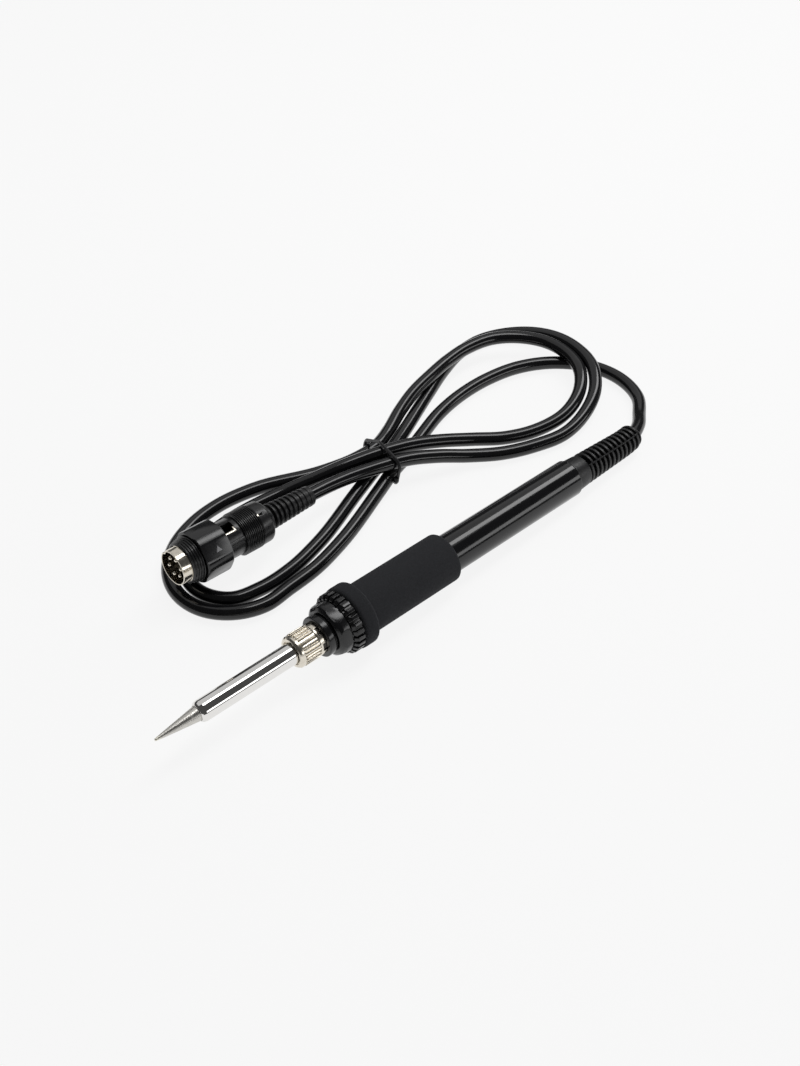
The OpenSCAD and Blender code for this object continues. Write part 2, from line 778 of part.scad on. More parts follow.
module plug_collar() {
    flat = collar_d / 2 * collar_flat_share;
    mark = 1.6;
    color("#1b1c1e") along_plug() difference() {
        union() {
            intersection() {
                turned() round_section(collar_at, collar_end, collar_d / 2, 0.6);
                rotate([0, 0, 150 + collar_mark_turn]) translate([0, 0, collar_at])
                    cylinder(r = flat / cos(30), h = collar_len, $fn = collar_flats);
            }
            rotate([0, 0, 180 + collar_mark_turn]) translate([flat - 0.2, 0, collar_mark_at])
                rotate([0, 90, 0]) rotate([0, 0, -90]) cylinder(r = mark, h = 0.6, $fn = 3);
        }
        rod(collar_at - eps, collar_end + eps, collar_bore_r);
    }
}

// The latch spring's bright corner that shows in the window: a strip along it and one across
module plug_latch() {
    r = body_r - 0.5;
    w = window_w - 2 * latch_gap;
    at = window_at + latch_gap;
    len = window_len - 2 * latch_gap;
    color("silver") along_plug() rotate([0, 0, 180 + window_turn]) intersection() {
        tube(at, at + len, r, body_bore_r);
        union() {
            translate([0, w / 2 - latch_strip, at]) cube([body_r, latch_strip, len]);
            translate([0, w / 2 - 0.7 * w, at + len - latch_strip]) cube([body_r, 0.7 * w, latch_strip]);
        }
    }
}

module plug_sleeve() {
    pitch = (sleeve_len - 4) / sleeve_ridges;
    color("#1b1c1e") along_plug() difference() {
        union() {
            turned() round_section(sleeve_at, sleeve_end, sleeve_d / 2 - ridge_h, sleeve_round);
            rod(sleeve_at, sleeve_at + 2.5, sleeve_d / 2 - ridge_h);
            for (i = [0:sleeve_ridges - 1])
                rod(sleeve_at + (i + 0.2) * pitch, sleeve_at + (i + 0.75) * pitch, sleeve_d / 2);
        }
        rod(sleeve_at - eps, sleeve_end - 2, sleeve_bore_r);
        rod(sleeve_at, sleeve_end + eps, plug_rib_r1);
    }
}

module plug_wires() {
    color("firebrick") along_plug() for (i = [0:pin_count - 1]) {
        a = 180 + key_turn + i * 360 / pin_count;
        rod_between([pin_circle_d / 2 * cos(a), pin_circle_d / 2 * sin(a), pin_tail_end + wire_gap],
            [wire_ring_r * cos(a), wire_ring_r * sin(a), plug_cord_at - wire_gap], wire_r);
    }
}

module plug_cord_clamp() {
    color("silver") along_plug() {
        tube(plug_cord_at + 1.2, plug_cord_at + 4, cord_r + clamp_t, cord_r);
        for (turn = [0, 180]) rotate([0, 0, turn])
            translate([cord_r + clamp_t / 2, -0.6, plug_cord_at + 1.2])
                cube([sleeve_bore_r - cord_r - clamp_t / 2 - 0.4, 1.2, 2.8]);
    }
}

module cord_in_plug() {
    color("#17181a") along_plug() rod(plug_cord_at, plug_boot_end, cord_r);
}

module plug_boot() {
    rib = 0.5 * plug_rib_pitch;
    color("#202123") along_plug() difference() {
        union() {
            rod(plug_boot_at, sleeve_end, plug_rib_r1);
            rod(plug_boot_at - 1, plug_boot_at, sleeve_bore_r);
            rod(sleeve_end, plug_boot_end, plug_core_r);
            for (i = [0:plug_boot_ribs - 1]) rod(sleeve_end + (i + 0.5) * plug_rib_pitch,
                sleeve_end + (i + 0.5) * plug_rib_pitch + rib,
                plug_rib_r1 + (plug_rib_r2 - plug_rib_r1) * i / (plug_boot_ribs - 1));
            rod(plug_boot_end - 1.2, plug_boot_end, plug_rib_r2 - 0.1);
        }
        rod(plug_boot_at - 1 - eps, plug_boot_end + eps, cord_r);
    }
}

tip();
tip_enclosure();
enclosure_nut();
nipple();
nipple_insert();
ground_spring();
heating_element();
element_collar();
heater_leads();
terminal_board();
solder_joints();
connection_cover();
handle();
foam_grip();
handle_wires();
cord_stopper();
cord_in_handle();
cord_boot();
cord();
cord_tie();
plug_shell();
plug_insulator();
plug_pins();
plug_front_ring();
plug_body();
plug_collar();
plug_latch();
plug_sleeve();
plug_wires();
plug_cord_clamp();
cord_in_plug();
plug_boot();
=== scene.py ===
"""Soldering iron of a soldering station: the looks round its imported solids.

Everything is in metres in the part's own frame. The iron lies along X with its tip at -X,
and the floor is at Z = 0. Outlines of turned parts are in millimetres along their own axis:
each point is (station, radius, radius of its rounded corner).
"""

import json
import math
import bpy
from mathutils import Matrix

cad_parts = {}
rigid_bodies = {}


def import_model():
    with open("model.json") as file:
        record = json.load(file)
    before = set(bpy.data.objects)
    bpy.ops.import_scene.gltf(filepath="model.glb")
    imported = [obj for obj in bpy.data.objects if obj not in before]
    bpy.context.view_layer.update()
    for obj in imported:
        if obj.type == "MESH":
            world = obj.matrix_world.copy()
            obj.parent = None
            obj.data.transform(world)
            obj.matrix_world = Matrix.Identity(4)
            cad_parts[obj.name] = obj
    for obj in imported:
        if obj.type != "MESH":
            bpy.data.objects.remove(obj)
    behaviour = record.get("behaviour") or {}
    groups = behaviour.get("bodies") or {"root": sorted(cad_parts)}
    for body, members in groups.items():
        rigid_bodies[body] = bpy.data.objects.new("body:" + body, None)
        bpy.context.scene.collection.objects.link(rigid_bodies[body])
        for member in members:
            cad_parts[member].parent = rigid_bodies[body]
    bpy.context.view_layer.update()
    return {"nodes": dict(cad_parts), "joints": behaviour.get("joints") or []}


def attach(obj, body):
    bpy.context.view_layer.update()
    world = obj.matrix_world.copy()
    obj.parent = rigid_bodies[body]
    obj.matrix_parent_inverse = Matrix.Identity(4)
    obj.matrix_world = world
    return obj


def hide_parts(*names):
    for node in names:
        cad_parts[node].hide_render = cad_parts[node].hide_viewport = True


bl_info = {
    "name": "Soldering iron",
    "version": (1, 0, 0),
    "blender": (4, 5, 0),
    "location": "View3D > Sidebar > Soldering iron",
    "description": "Builds a station soldering iron with its tied cord and round plug",
    "category": "Object",
}

import bmesh
import bpy
from bpy.props import FloatProperty, FloatVectorProperty, IntProperty, PointerProperty
from mathutils import Matrix, Vector
from mathutils.bvhtree import BVHTree

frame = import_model()
MM = 0.001
LOOSE = Matrix()  # the place of a piece in millimetres that its copies or its cuts put in place

# Stations and lengths in millimetres
NUT_JOINT = 58.0  # along the iron from its tip to its nut's joint
COLLAR_JOINT = 13.9  # along the plug from its face to its collar's joint
NUT_GAP = 0.15  # between nut and nipple
NIPPLE_LEN = 8.1  # in front of its ring
RING_LEN = 4.0  # of the nipple's ribbed ring
GRIP_GAP = 0.2  # between nipple and grip
GRIP_LEN = 46.5
HANDLE_IN_GRIP = 1.8  # from the grip's front to the handle's end inside it
BOOT_COLLAR = 7.0  # from the handle to the boot's first rib
BOOT_STRAIGHT = 22.5  # of ribbed boot before its bend
BOOT_BEND_R = 52.0  # radius of that bend
MOUTH_WALL = 1.1  # thickness of the enclosure's front wall
HANDLE_BORE_R = 4.6  # at the handle's rear end
BAND_DROP = 0.42  # depth of the plug's fine ridges
RING_SMALL_R = 7.8  # radius of the front ring's smaller end

# Turns in degrees about a part's own axis, from straight down
SEAM_TURN = 217  # to the line where the boot's half ribs meet
WINDOW_TURN = 195  # to the middle of the plug's window
BODY_RIB_TURN = 242  # to the first of the two ribs on the plug's body
MARK_TURN = 231  # to the middle of the collar's flat with the mark

KEY_TURN = math.radians(49)  # in radians from straight up to the shell's key, away from the iron
BOOT_STEPS = 24  # points along the boot's core


# ---- sizes and colours that a user would change


def length(name, description, default):
    """A length in metres."""
    return FloatProperty(
        name=name, description=description, default=default, min=0.0, max=1.0,
        precision=5, subtype="DISTANCE", unit="LENGTH",
    )


def count(name, description, default, low, high):
    """A number of like things."""
    return IntProperty(name=name, description=description, default=default, min=low, max=high)


def power(name, description, default):
    """The power of a lamp in watts."""
    return FloatProperty(name=name, description=description, default=default, min=0, max=100)


def colour(name, description, default):
    """A colour without alpha."""
    return FloatVectorProperty(
        name=name, description=description, default=default, min=0.0, max=1.0,
        size=3, subtype="COLOR",
    )


class IronSizes(bpy.types.PropertyGroup):
    """Sizes of the iron, as in the part's source."""

    tip_point: length("Tip point", "Diameter of the tip's rounded end", 0.001)
    tip_cone: length("Tip cone", "Diameter of the tip's cone at the enclosure", 0.0052)
    tip_reach: length("Tip reach", "Length of the tip in front of its enclosure", 0.016)
    pipe: length("Enclosure tube", "Outer diameter of the enclosure tube", 0.00765)
    pipe_reach: length("Enclosure reach", "Length of tube in front of the nut", 0.038)
    nut: length("Nut", "Outer diameter of the nut", 0.01175)
    nut_len: length("Nut length", "Length of the nut", 0.0105)
    nut_ridges: count("Nut ridges", "Knurl ridges round the nut", 28, 8, 60)
    nipple: length("Nipple", "Diameter of the nipple's body", 0.0195)
    nipple_ring: length("Nipple ring", "Diameter of the nipple's ribbed ring", 0.0224)
    nipple_ribs: count("Nipple ribs", "Ribs round the nipple's ring", 26, 8, 60)
    handle: length("Handle", "Diameter of the handle", 0.0146)
    handle_len: length("Handle length", "Length of the handle tube", 0.111)
    foam_flange: length("Grip flange", "Diameter of the foam grip's flange", 0.0232)
    foam: length("Grip", "Diameter of the foam grip behind its flange", 0.0186)
    boot_ribs: count("Boot ribs", "Ribs along each half of the boot", 12, 4, 20)
    boot_bend: FloatProperty(
        name="Boot bend", description="Angle that the boot's end is bent to one side",
        default=math.radians(10), min=0.0, max=0.6, subtype="ANGLE", unit="ROTATION",
    )


class CordSizes(bpy.types.PropertyGroup):
    """Sizes of the cord, its tie and its plug."""

    cord: length("Cord", "Diameter of the cord", 0.0055)
    tie: length("Tie", "Thickness of the tie", 0.0013)
    shell: length("Shell", "Outer diameter of the plug's metal shell", 0.0132)
    pins: count("Pins", "Contact pins in the plug", 6, 2, 9)
    pin: length("Pin", "Diameter of a contact pin", 0.00145)
    pin_circle: length("Pin circle", "Diameter of the circle that the pins stand on", 0.007)
    front_ring: length("Front ring", "Diameter of the plug's ridged front ring", 0.0175)
    collar: length("Locking collar", "Diameter of the locking collar over its corners", 0.0196)
    sleeve: length("Sleeve", "Diameter of the plug's screwed sleeve", 0.0165)
    boot_ribs: count("Plug boot ribs", "Ribs along the plug's cord boot", 10, 4, 14)


class Finishes(bpy.types.PropertyGroup):
    """Colours of the iron's finishes."""

    plating: colour("Tip plating", "Plated and lightly tinned tip", (0.60, 0.585, 0.55))
    tinned: colour("Tinned end", "Wetted end of the tip", (0.83, 0.80, 0.70))
    steel: colour("Polished steel", "Enclosure tube", (0.80, 0.79, 0.77))
    nickel: colour("Warm nickel", "Nut and plug shell", (0.74, 0.69, 0.60))
    gloss_black: colour("Gloss black", "Handle and nipple", (0.006, 0.006, 0.007))
    satin_black: colour("Satin black", "Plug mouldings", (0.009, 0.009, 0.010))
    foam: colour("Foam", "Foam grip", (0.026, 0.027, 0.031))
    rubber: colour("Rubber", "Boots", (0.009, 0.009, 0.010))
    jacket: colour("Cord jacket", "Flexible cord", (0.006, 0.006, 0.007))
    board: colour("Board", "Terminal board", (0.06, 0.17, 0.08))
    ceramic: colour("Ceramic", "Heater", (0.86, 0.84, 0.78))
    insulation: colour("Insulation", "Inner wires", (0.42, 0.05, 0.045))


class StageSettings(bpy.types.PropertyGroup):
    """Camera and studio light."""

    lens: FloatProperty(name="Lens", description="Focal length in millimetres", default=43.9, min=10, max=200)
    camera_at: FloatVectorProperty(
        name="Camera", description="Place of the camera", default=(-0.2220, -0.2276, 0.3390),
        size=3, subtype="XYZ", unit="LENGTH",
    )
    sky: FloatProperty(
        name="Sky", description="Strength of the even light all round", default=0.07, min=0, max=3,
    )
    overhead: power("Overhead", "Power of the wide overhead panel in watts", 1.9)
    strip: power("Strip", "Power of the long softbox above in watts", 3.2)
    front: power("Front", "Power of the low softbox at the front in watts", 1.5)


# ---- places


def axis_place(joint, station):
    """Matrix from millimetres along a part's axis to the frame: Z runs to the cord, X down."""
    j = next(j for j in frame["joints"] if j["name"] == joint)
    back = -Vector(j["axis"]).normalized()
    side = Vector((0, 0, 1)).cross(back).normalized()
    down = side.cross(back)
    at = Vector(j["pos_m"]) - back * station * MM
    turn = Matrix((down, side, back)).transposed().to_4x4()
    return Matrix.Translation(at) @ turn @ Matrix.Scale(MM, 4)


IRON = axis_place("nut_turn", NUT_JOINT)
PLUG = axis_place("collar_turn", COLLAR_JOINT)


def about_axis(degrees, axis="Z"):
    """A turn about an axis."""
    return Matrix.Rotation(math.radians(degrees), 4, axis)


class Millimetres:
    """A property group's values, its lengths in millimetres."""

    def __init__(self, group):
        for key, kind in group.bl_rna.properties.items():
            if key not in ("rna_type", "name"):
                value = getattr(group, key)
                setattr(self, key, value / MM if kind.unit == "LENGTH" else value)


def iron_mm():
    """The iron's sizes with the stations that follow from them."""
    s = Millimetres(bpy.context.scene.iron_sizes)
    s.mouth = s.tip_reach
    s.nut_at = s.mouth + s.pipe_reach
    s.nut_end = s.nut_at + s.nut_len
    s.nipple_at = s.nut_end + NUT_GAP
    s.ring_at = s.nipple_at + NIPPLE_LEN
    s.ring_end = s.ring_at + RING_LEN
    s.foam_at = s.ring_end + GRIP_GAP
    s.foam_end = s.foam_at + GRIP_LEN
    s.handle_at = s.foam_at + HANDLE_IN_GRIP
    s.handle_end = s.handle_at + s.handle_len
    s.ribs_at = s.handle_end + BOOT_COLLAR
    s.ribs_len = BOOT_STRAIGHT + BOOT_BEND_R * s.boot_bend
    return s


def plug_mm():
    """The cord's and plug's sizes with the stations along the plug's axis from its face."""
    s = Millimetres(bpy.context.scene.cord_sizes)
    s.ring_at, s.body_at, s.shell_end = 3.6, 8.1, 16
    s.collar_at, s.collar_end = 8.25, 19.55
    s.sleeve_at, s.sleeve_end = 27.05, 40.05
    s.boot_end = s.sleeve_end + 22.5
    s.seat = s.shell / 2 + 0.25
    return s


# ---- meshes


def fresh_object(name, mesh):
    """A new object at the origin that holds the mesh."""
    obj = bpy.data.objects.new(name, mesh)
    bpy.context.scene.collection.objects.link(obj)
    return obj


def softened(outline, steps=4):
    """The closed outline with each corner rounded, as far as its edges allow."""
    pts = [Vector(p[:2]) for p in outline]
    out = []
    for i, p in enumerate(pts):
        a, b = pts[i - 1] - p, pts[(i + 1) % len(pts)] - p
        size = outline[i][2]
        if size <= 0 or min(a.length, b.length) < 1e-6 or a.angle(b) / 2 > 1.54:
            out.append(p)
            continue
        back = min(size / math.tan(a.angle(b) / 2), 0.45 * a.length, 0.45 * b.length)
        start, end = p + a.normalized() * back, p + b.normalized() * back
        for k in range(steps + 1):
            f = k / steps
            out.append(start * (1 - f) ** 2 + p * 2 * f * (1 - f) + end * f * f)
    return out


def smooth(mesh, sharp):
    """Shades a mesh smoothly, apart from edges over an angle in degrees."""
    for face in mesh.polygons:
        face.use_smooth = True
    mesh.set_sharp_from_angle(angle=math.radians(sharp))


def finished_mesh(bm, name, place, sharp=35):
    """Turns a bmesh in millimetres into an object with its place in its mesh."""
    bmesh.ops.remove_doubles(bm, verts=bm.verts, dist=1e-4)
    bmesh.ops.recalc_face_normals(bm, faces=bm.faces)
    mesh = bpy.data.meshes.new(name)
    bm.to_mesh(mesh)
    bm.free()
    mesh.transform(place)
    smooth(mesh, sharp)
    return fresh_object(name, mesh)


def bridge(bm, a, b, shift=0):
    """Faces between two rings, with three corners where one ring is a single point."""
    n = len(a)
    for k in range(n):
        face = []
        for v in (a[k], a[(k + 1) % n], b[(k + 1 + shift) % n], b[(k + shift) % n]):
            if v not in face:
                face.append(v)
        if len(face) > 2:
            bm.faces.new(face)


def cap(bm, rings):
    """Closes a tube of rings at both ends."""
    bm.faces.new(rings[0][::-1])
    bm.faces.new(rings[-1])


def turned(name, outline, place, steps=96, sharp=35):
    """A part turned from a closed outline."""
    bm = bmesh.new()
    rings = []
    for station, r in softened(outline):
        if r < 1e-5:
            rings.append([bm.verts.new((0, 0, station))] * steps)
        else:
            angles = [2 * math.pi * k / steps for k in range(steps)]
            rings.append([bm.verts.new((r * math.cos(a), r * math.sin(a), station)) for a in angles])
    for a, b in zip(rings, rings[1:] + rings[:1]):
        bridge(bm, a, b)
    return finished_mesh(bm, name, place, sharp)


def swept(name, path, radii, place, sides=32, closed=False, flat=1.0):
    """A tube along points in millimetres, its radius given at each point."""
    n = len(path)
    path = [Vector(p) for p in path]
    ahead = []
    for i in range(n):
        a = path[i - 1] if (closed or i) else path[i]
        b = path[(i + 1) % n] if (closed or i < n - 1) else path[i]
        ahead.append((b - a).normalized())
    side = ahead[0].orthogonal().normalized()
    bm = bmesh.new()
    rings = []
    for i in range(n):
        side = (side - ahead[i] * side.dot(ahead[i])).normalized()
        up = ahead[i].cross(side)
        ring = []
        for k in range(sides):
            a = 2 * math.pi * k / sides
            ring.append(bm.verts.new(path[i] + radii[i] * (math.cos(a) * side + flat * math.sin(a) * up)))
        rings.append(ring)
    for a, b in zip(rings, rings[1:]):
        bridge(bm, a, b)
    if closed:
        last, first = rings[-1], rings[0]
        bridge(bm, last, first, min(range(sides), key=lambda m: (last[0].co - first[m].co).length))
    else:
        cap(bm, rings)
    return finished_mesh(bm, name, place)


def eased(bm, name, place, bevel):
    """Rounds every edge of a bmesh and finishes it."""
    bmesh.ops.bevel(bm, geom=bm.edges[:], offset=bevel, segments=3, profile=0.6, affect="EDGES")
    return finished_mesh(bm, name, place, 40)


def block(name, low, high, place, bevel):
    """A bar with eased edges between two corners in millimetres."""
    bm = bmesh.new()
    bmesh.ops.create_cube(bm, size=1.0)
    for v in bm.verts:
        v.co = Vector([(a + b) / 2 + c * (b - a) for a, b, c in zip(low, high, v.co)])
    return eased(bm, name, place, bevel)


def bar(name, outline, width, place, bevel):
    """A bar with eased edges: an outline of (radius, station) points, as wide to both sides."""
    bm = bmesh.new()
    sides = [[bm.verts.new((r, y, z)) for r, z in outline] for y in (-width / 2, width / 2)]
    for i in range(len(outline)):
        j = (i + 1) % len(outline)
        bm.faces.new((sides[0][i], sides[0][j], sides[1][j], sides[1][i]))
    cap(bm, sides)
    bmesh.ops.recalc_face_normals(bm, faces=bm.faces)
    return eased(bm, name, place, bevel)


def joined(name, *objs):
    """One piece from several, its mesh the sum of theirs."""
    bm = bmesh.new()
    finishes = []
    for obj in objs:
        base = len(finishes)
        finishes += [slot.material for slot in obj.material_slots]
        piece = bmesh.new()
        piece.from_mesh(obj.data)
        for f in piece.faces:
            f.material_index += base
        part = bpy.data.meshes.new("part")
        piece.to_mesh(part)
        piece.free()
        bm.from_mesh(part)
        bpy.data.meshes.remove(part)
        bpy.data.objects.remove(obj)
    mesh = bpy.data.meshes.new(name)
    bm.to_mesh(mesh)
    bm.free()
    for finish in finishes:
        mesh.materials.append(finish)
    return fresh_object(name, mesh)


def plain_copy(obj, name, place=None):
    """The object with its modifiers applied, as a plain mesh object in its place."""
    bpy.context.view_layer.update()
    graph = bpy.context.evaluated_depsgraph_get()
    mesh = bpy.data.meshes.new_from_object(obj.evaluated_get(graph), depsgraph=graph)
    for m in list(obj.modifiers):
        obj.modifiers.remove(m)
    bpy.data.objects.remove(obj)
    if place is not None:
        mesh.transform(place)
    mesh.name = name
    return fresh_object(name, mesh)


def cut(obj, cutter, edge=0.0, sharp=30, operation="DIFFERENCE"):
    """Cuts one piece with another, then eases the new edges by a width in millimetres."""
    mod = obj.modifiers.new("cut", "BOOLEAN")
    mod.operation = operation
    mod.solver = "EXACT"
    mod.object = cutter
    if edge:
        ease = obj.modifiers.new("ease", "BEVEL")
        ease.width = edge * MM
        ease.segments = 2
        ease.limit_method = "ANGLE"
        ease.angle_limit = math.radians(28)
    name = obj.name
    obj.name = name + "_uncut"
    out = plain_copy(obj, name)
    bpy.data.objects.remove(cutter)
    smooth(out.data, sharp)
    return out


# ---- nodes, and the trees that copy pieces round an axis and ribs along a path


def add_node(tree, kind, inputs, out=0, **settings):
    """Adds a node with its settings. Each input is a value or a socket to link; returns one output."""
    node = tree.nodes.new(kind)
    for key, value in settings.items():
        setattr(node, key, value)
    for key, value in inputs.items():
        if isinstance(value, bpy.types.NodeSocket):
            tree.links.new(value, node.inputs[key])
        else:
            node.inputs[key].default_value = value
    return node.outputs[out]


def maths(tree, operation, a, b):
    """A maths node on two sockets or numbers."""
    return add_node(tree, "ShaderNodeMath", {0: a, 1: b}, operation=operation)


def about_z(tree, turn):
    """A rotation about Z by an angle."""
    angles = add_node(tree, "ShaderNodeCombineXYZ", {"Z": turn})
    return add_node(tree, "FunctionNodeEulerToRotation", {0: angles})


def copies_round_axis(tree, given):
    """The piece copied evenly round its Z axis."""
    index = add_node(tree, "GeometryNodeInputIndex", {})
    step = maths(tree, "DIVIDE", 2 * math.pi, given["Count"])
    turn = maths(tree, "ADD", maths(tree, "MULTIPLY", index, step), given["First turn"])
    return add_node(tree, "GeometryNodeInstanceOnPoints", {
        "Points": add_node(tree, "GeometryNodePoints", {"Count": given["Count"]}),
        "Instance": given["Geometry"],
        "Rotation": about_z(tree, turn),
    }, "Instances")


def ribs_along_path(tree, given):
    """A rib copied along the path, turned to it, and scaled from its start to its end."""
    curve = {"Curve": given["Geometry"], "Count": given["Count"]}
    points = add_node(tree, "GeometryNodeCurveToPoints", curve, "Points", mode="COUNT")
    index = add_node(tree, "GeometryNodeInputIndex", {})
    share = maths(tree, "DIVIDE", index, maths(tree, "SUBTRACT", given["Count"], 1.0))
    less = maths(tree, "SUBTRACT", given["End scale"], 1.0)
    width = maths(tree, "ADD", maths(tree, "MULTIPLY", share, less), 1.0)
    way = {"Rotation": about_z(tree, given["Turn"]), "Vector": points.node.outputs["Tangent"]}
    return add_node(tree, "GeometryNodeInstanceOnPoints", {
        "Points": points,
        "Instance": add_node(tree, "GeometryNodeObjectInfo", {"Object": given["Rib"]}, "Geometry"),
        "Rotation": add_node(tree, "FunctionNodeAlignRotationToVector", way, axis="Z"),
        "Scale": add_node(tree, "ShaderNodeCombineXYZ", {"X": width, "Y": width, "Z": 1.0}),
    }, "Instances")


# Geometry tree: the function that builds its copies, and what it is given besides its geometry
TREES = {
    "Copies round an axis": (copies_round_axis, {
        "Count": "Int", "First turn": "Float", "Material": "Material",
    }),
    "Ribs along a path": (ribs_along_path, {
        "Rib": "Object", "Count": "Int", "Turn": "Float", "End scale": "Float", "Material": "Material",
    }),
}


def geometry_tree(name):
    """The tree of that name, built once. It ends in Realize Instances and Set Material."""
    if name in bpy.data.node_groups:
        return bpy.data.node_groups[name]
    build, inputs = TREES[name]
    tree = bpy.data.node_groups.new(name, "GeometryNodeTree")
    new_socket = tree.interface.new_socket
    new_socket("Geometry", in_out="INPUT", socket_type="NodeSocketGeometry")
    for label, kind in inputs.items():
        new_socket(label, in_out="INPUT", socket_type="NodeSocket" + kind)
    new_socket("Geometry", in_out="OUTPUT", socket_type="NodeSocketGeometry")
    given = tree.nodes.new("NodeGroupInput").outputs
    real = add_node(tree, "GeometryNodeRealizeInstances", {"Geometry": build(tree, given)})
    painted = add_node(tree, "GeometryNodeSetMaterial", {"Geometry": real, "Material": given["Material"]})
    tree.links.new(painted, tree.nodes.new("NodeGroupOutput").inputs["Geometry"])
    return tree


def grown(obj, tree_name, values, name, place):
    """Runs a tree on an object with the named values, and returns its plain mesh in place."""
    mod = obj.modifiers.new("grow", "NODES")
    mod.node_group = geometry_tree(tree_name)
    for item in mod.node_group.interface.items_tree:
        if item.item_type == "SOCKET" and item.in_out == "INPUT" and item.name in values:
            mod[item.identifier] = values[item.name]
    out = plain_copy(obj, name, place)
    smooth(out.data, 35)
    return out


def round_axis(obj, number, place, finish, name, first=0.0):
    """A piece in millimetres copied evenly round the axis."""
    values = {"Count": number, "First turn": first, "Material": finish}
    return grown(obj, "Copies round an axis", values, name, place)


def along_path(rib, points, number, place, finish, name, turn=0.0, end_scale=1.0):
    """A rib in millimetres copied along a path of points. The rib itself goes."""
    curve = bpy.data.curves.new("path", "CURVE")
    curve.dimensions = "3D"
    line = curve.splines.new("POLY")
    line.points.add(len(points) - 1)
    for p, q in zip(line.points, points):
        p.co = (*q, 1)
    values = {"Rib": rib, "Count": number, "Turn": turn, "End scale": end_scale, "Material": finish}
    ribs = grown(fresh_object("path", curve), "Ribs along a path", values, name, place)
    bpy.data.objects.remove(rib)
    return ribs


# ---- finishes

NO_AXIS = Matrix.Scale(MM, 4)  # texture space of a piece that follows no axis
DARK_END, LIGHT_END = 0.3, 0.7  # between these lies most of a noise


class Finish:
    """A material made of nodes, with its texture space along a part's own axis."""

    def __init__(self, name, base, rough, metal, place, **more):
        self.mat = bpy.data.materials.new(name)
        self.mat.use_nodes = True
        self.tree = self.mat.node_tree
        self.shader = self.tree.nodes["Principled BSDF"].inputs
        self.base = base
        self.normal = None
        self.shader["Base Color"].default_value = (*base, 1)
        self.shader["Roughness"].default_value = rough
        self.shader["Metallic"].default_value = metal
        for key, value in more.items():
            self.shader[key.replace("_", " ")].default_value = value
        self.space = self.node("ShaderNodeMapping", {
            "Vector": self.node("ShaderNodeTexCoord", {}, "Object"),
            "Location": place.translation, "Rotation": place.to_euler(), "Scale": (MM, MM, MM),
        }, vector_type="TEXTURE")

    def node(self, kind, inputs, out=0, **settings):
        """A new node in this material."""
        return add_node(self.tree, kind, inputs, out, **settings)

    def noise(self, grain, detail=3.0, stretch=(1, 1, 1)):
        """Noise with its grain in millimetres."""
        at = self.node("ShaderNodeMapping", {"Scale": stretch, "Vector": self.space})
        inputs = {"Scale": 1.0 / grain, "Detail": detail, "Roughness": 0.55, "Vector": at}
        return self.node("ShaderNodeTexNoise", inputs, "Fac")

    def cells(self, grain):
        """Small cells, as foam has."""
        return self.node("ShaderNodeTexVoronoi", {"Scale": 1.0 / grain, "Vector": self.space}, "Distance")

    def ranged(self, fac, low, high, first, last):
        """A value carried from the range first to last into the range low to high."""
        return self.node("ShaderNodeMapRange", {
            "Value": fac, "From Min": first, "From Max": last, "To Min": low, "To Max": high,
        })

    def colour(self, fac, one, other, first=DARK_END, last=LIGHT_END):
        """Base colour between two colours by a value."""
        ramp = self.node("ShaderNodeValToRGB", {"Fac": fac}, "Color")
        for stop, at, shade in zip(ramp.node.color_ramp.elements, (first, last), (one, other)):
            stop.position = at
            stop.color = (*shade, 1)
        self.tree.links.new(ramp, self.shader["Base Color"])

    def shade(self, fac, spread):
        """Base colour a little darker and lighter by a value."""
        darker = [c * (1 - spread) for c in self.base]
        self.colour(fac, darker, [min(1, c * (1 + spread)) for c in self.base])

    def rough(self, fac, low, high):
        """Roughness between two values."""
        self.tree.links.new(self.ranged(fac, low, high, DARK_END, LIGHT_END), self.shader["Roughness"])

    def bump(self, fac, height, strength=1.0):
        """Relief of a height in millimetres, on top of what is there."""
        inputs = {"Strength": strength, "Distance": height * MM, "Height": fac}
        if self.normal:
            inputs["Normal"] = self.normal
        self.normal = self.node("ShaderNodeBump", inputs, "Normal")
        self.tree.links.new(self.normal, self.shader["Normal"])

    def grained(self, shade, rough, *bumps):
        """Colour, roughness and relief by noise: shade is (spread, *noise), rough is
        (low, high, *noise) and a bump is (height, strength, *noise). Returns the material."""
        self.shade(self.noise(*shade[1:]), shade[0])
        self.rough(self.noise(*rough[2:]), *rough[:2])
        for height, strength, *noise in bumps:
            self.bump(self.noise(*noise), height, strength)
        return self.mat


def colours():
    """The colours in the panel."""
    return bpy.context.scene.finishes


def made(name, build, *values):
    """The look of that name, built once; the bare names belong to the frame's plain materials."""
    look = "look_" + name
    return bpy.data.materials.get(look) or build(look, *values)


def tip_plating(name):
    """Iron plating: grey and faintly drawn, with a bright tinned end."""
    f = Finish(name, colours().plating, 0.3, 1.0, IRON)
    drawn = f.noise(0.35, 4, (1, 1, 0.12))
    f.shade(drawn, 0.10)
    f.rough(f.noise(1.4, 3), 0.24, 0.42)
    station = f.node("ShaderNodeSeparateXYZ", {0: f.space}, "Z")
    wet = f.node("ShaderNodeMix", {
        "Factor": f.ranged(station, 1.0, 0.0, 0.9, 2.6),
        6: f.shader["Base Color"].links[0].from_socket, 7: (*colours().tinned, 1),
    }, 2, data_type="RGBA")
    f.tree.links.new(wet, f.shader["Base Color"])
    f.bump(drawn, 0.012)
    f.bump(f.noise(0.9, 2), 0.02, 0.6)
    return f.mat


def polished_steel(name):
    """Polished tube with fine marks round it."""
    f = Finish(name, colours().steel, 0.1, 1.0, IRON)
    marks = (0.5, 5, (0.15, 0.15, 6.0))
    return f.grained((0.04, *marks), (0.02, 0.055, 2.2, 4, (1, 1, 0.4)), (0.0012, 1.0, *marks))


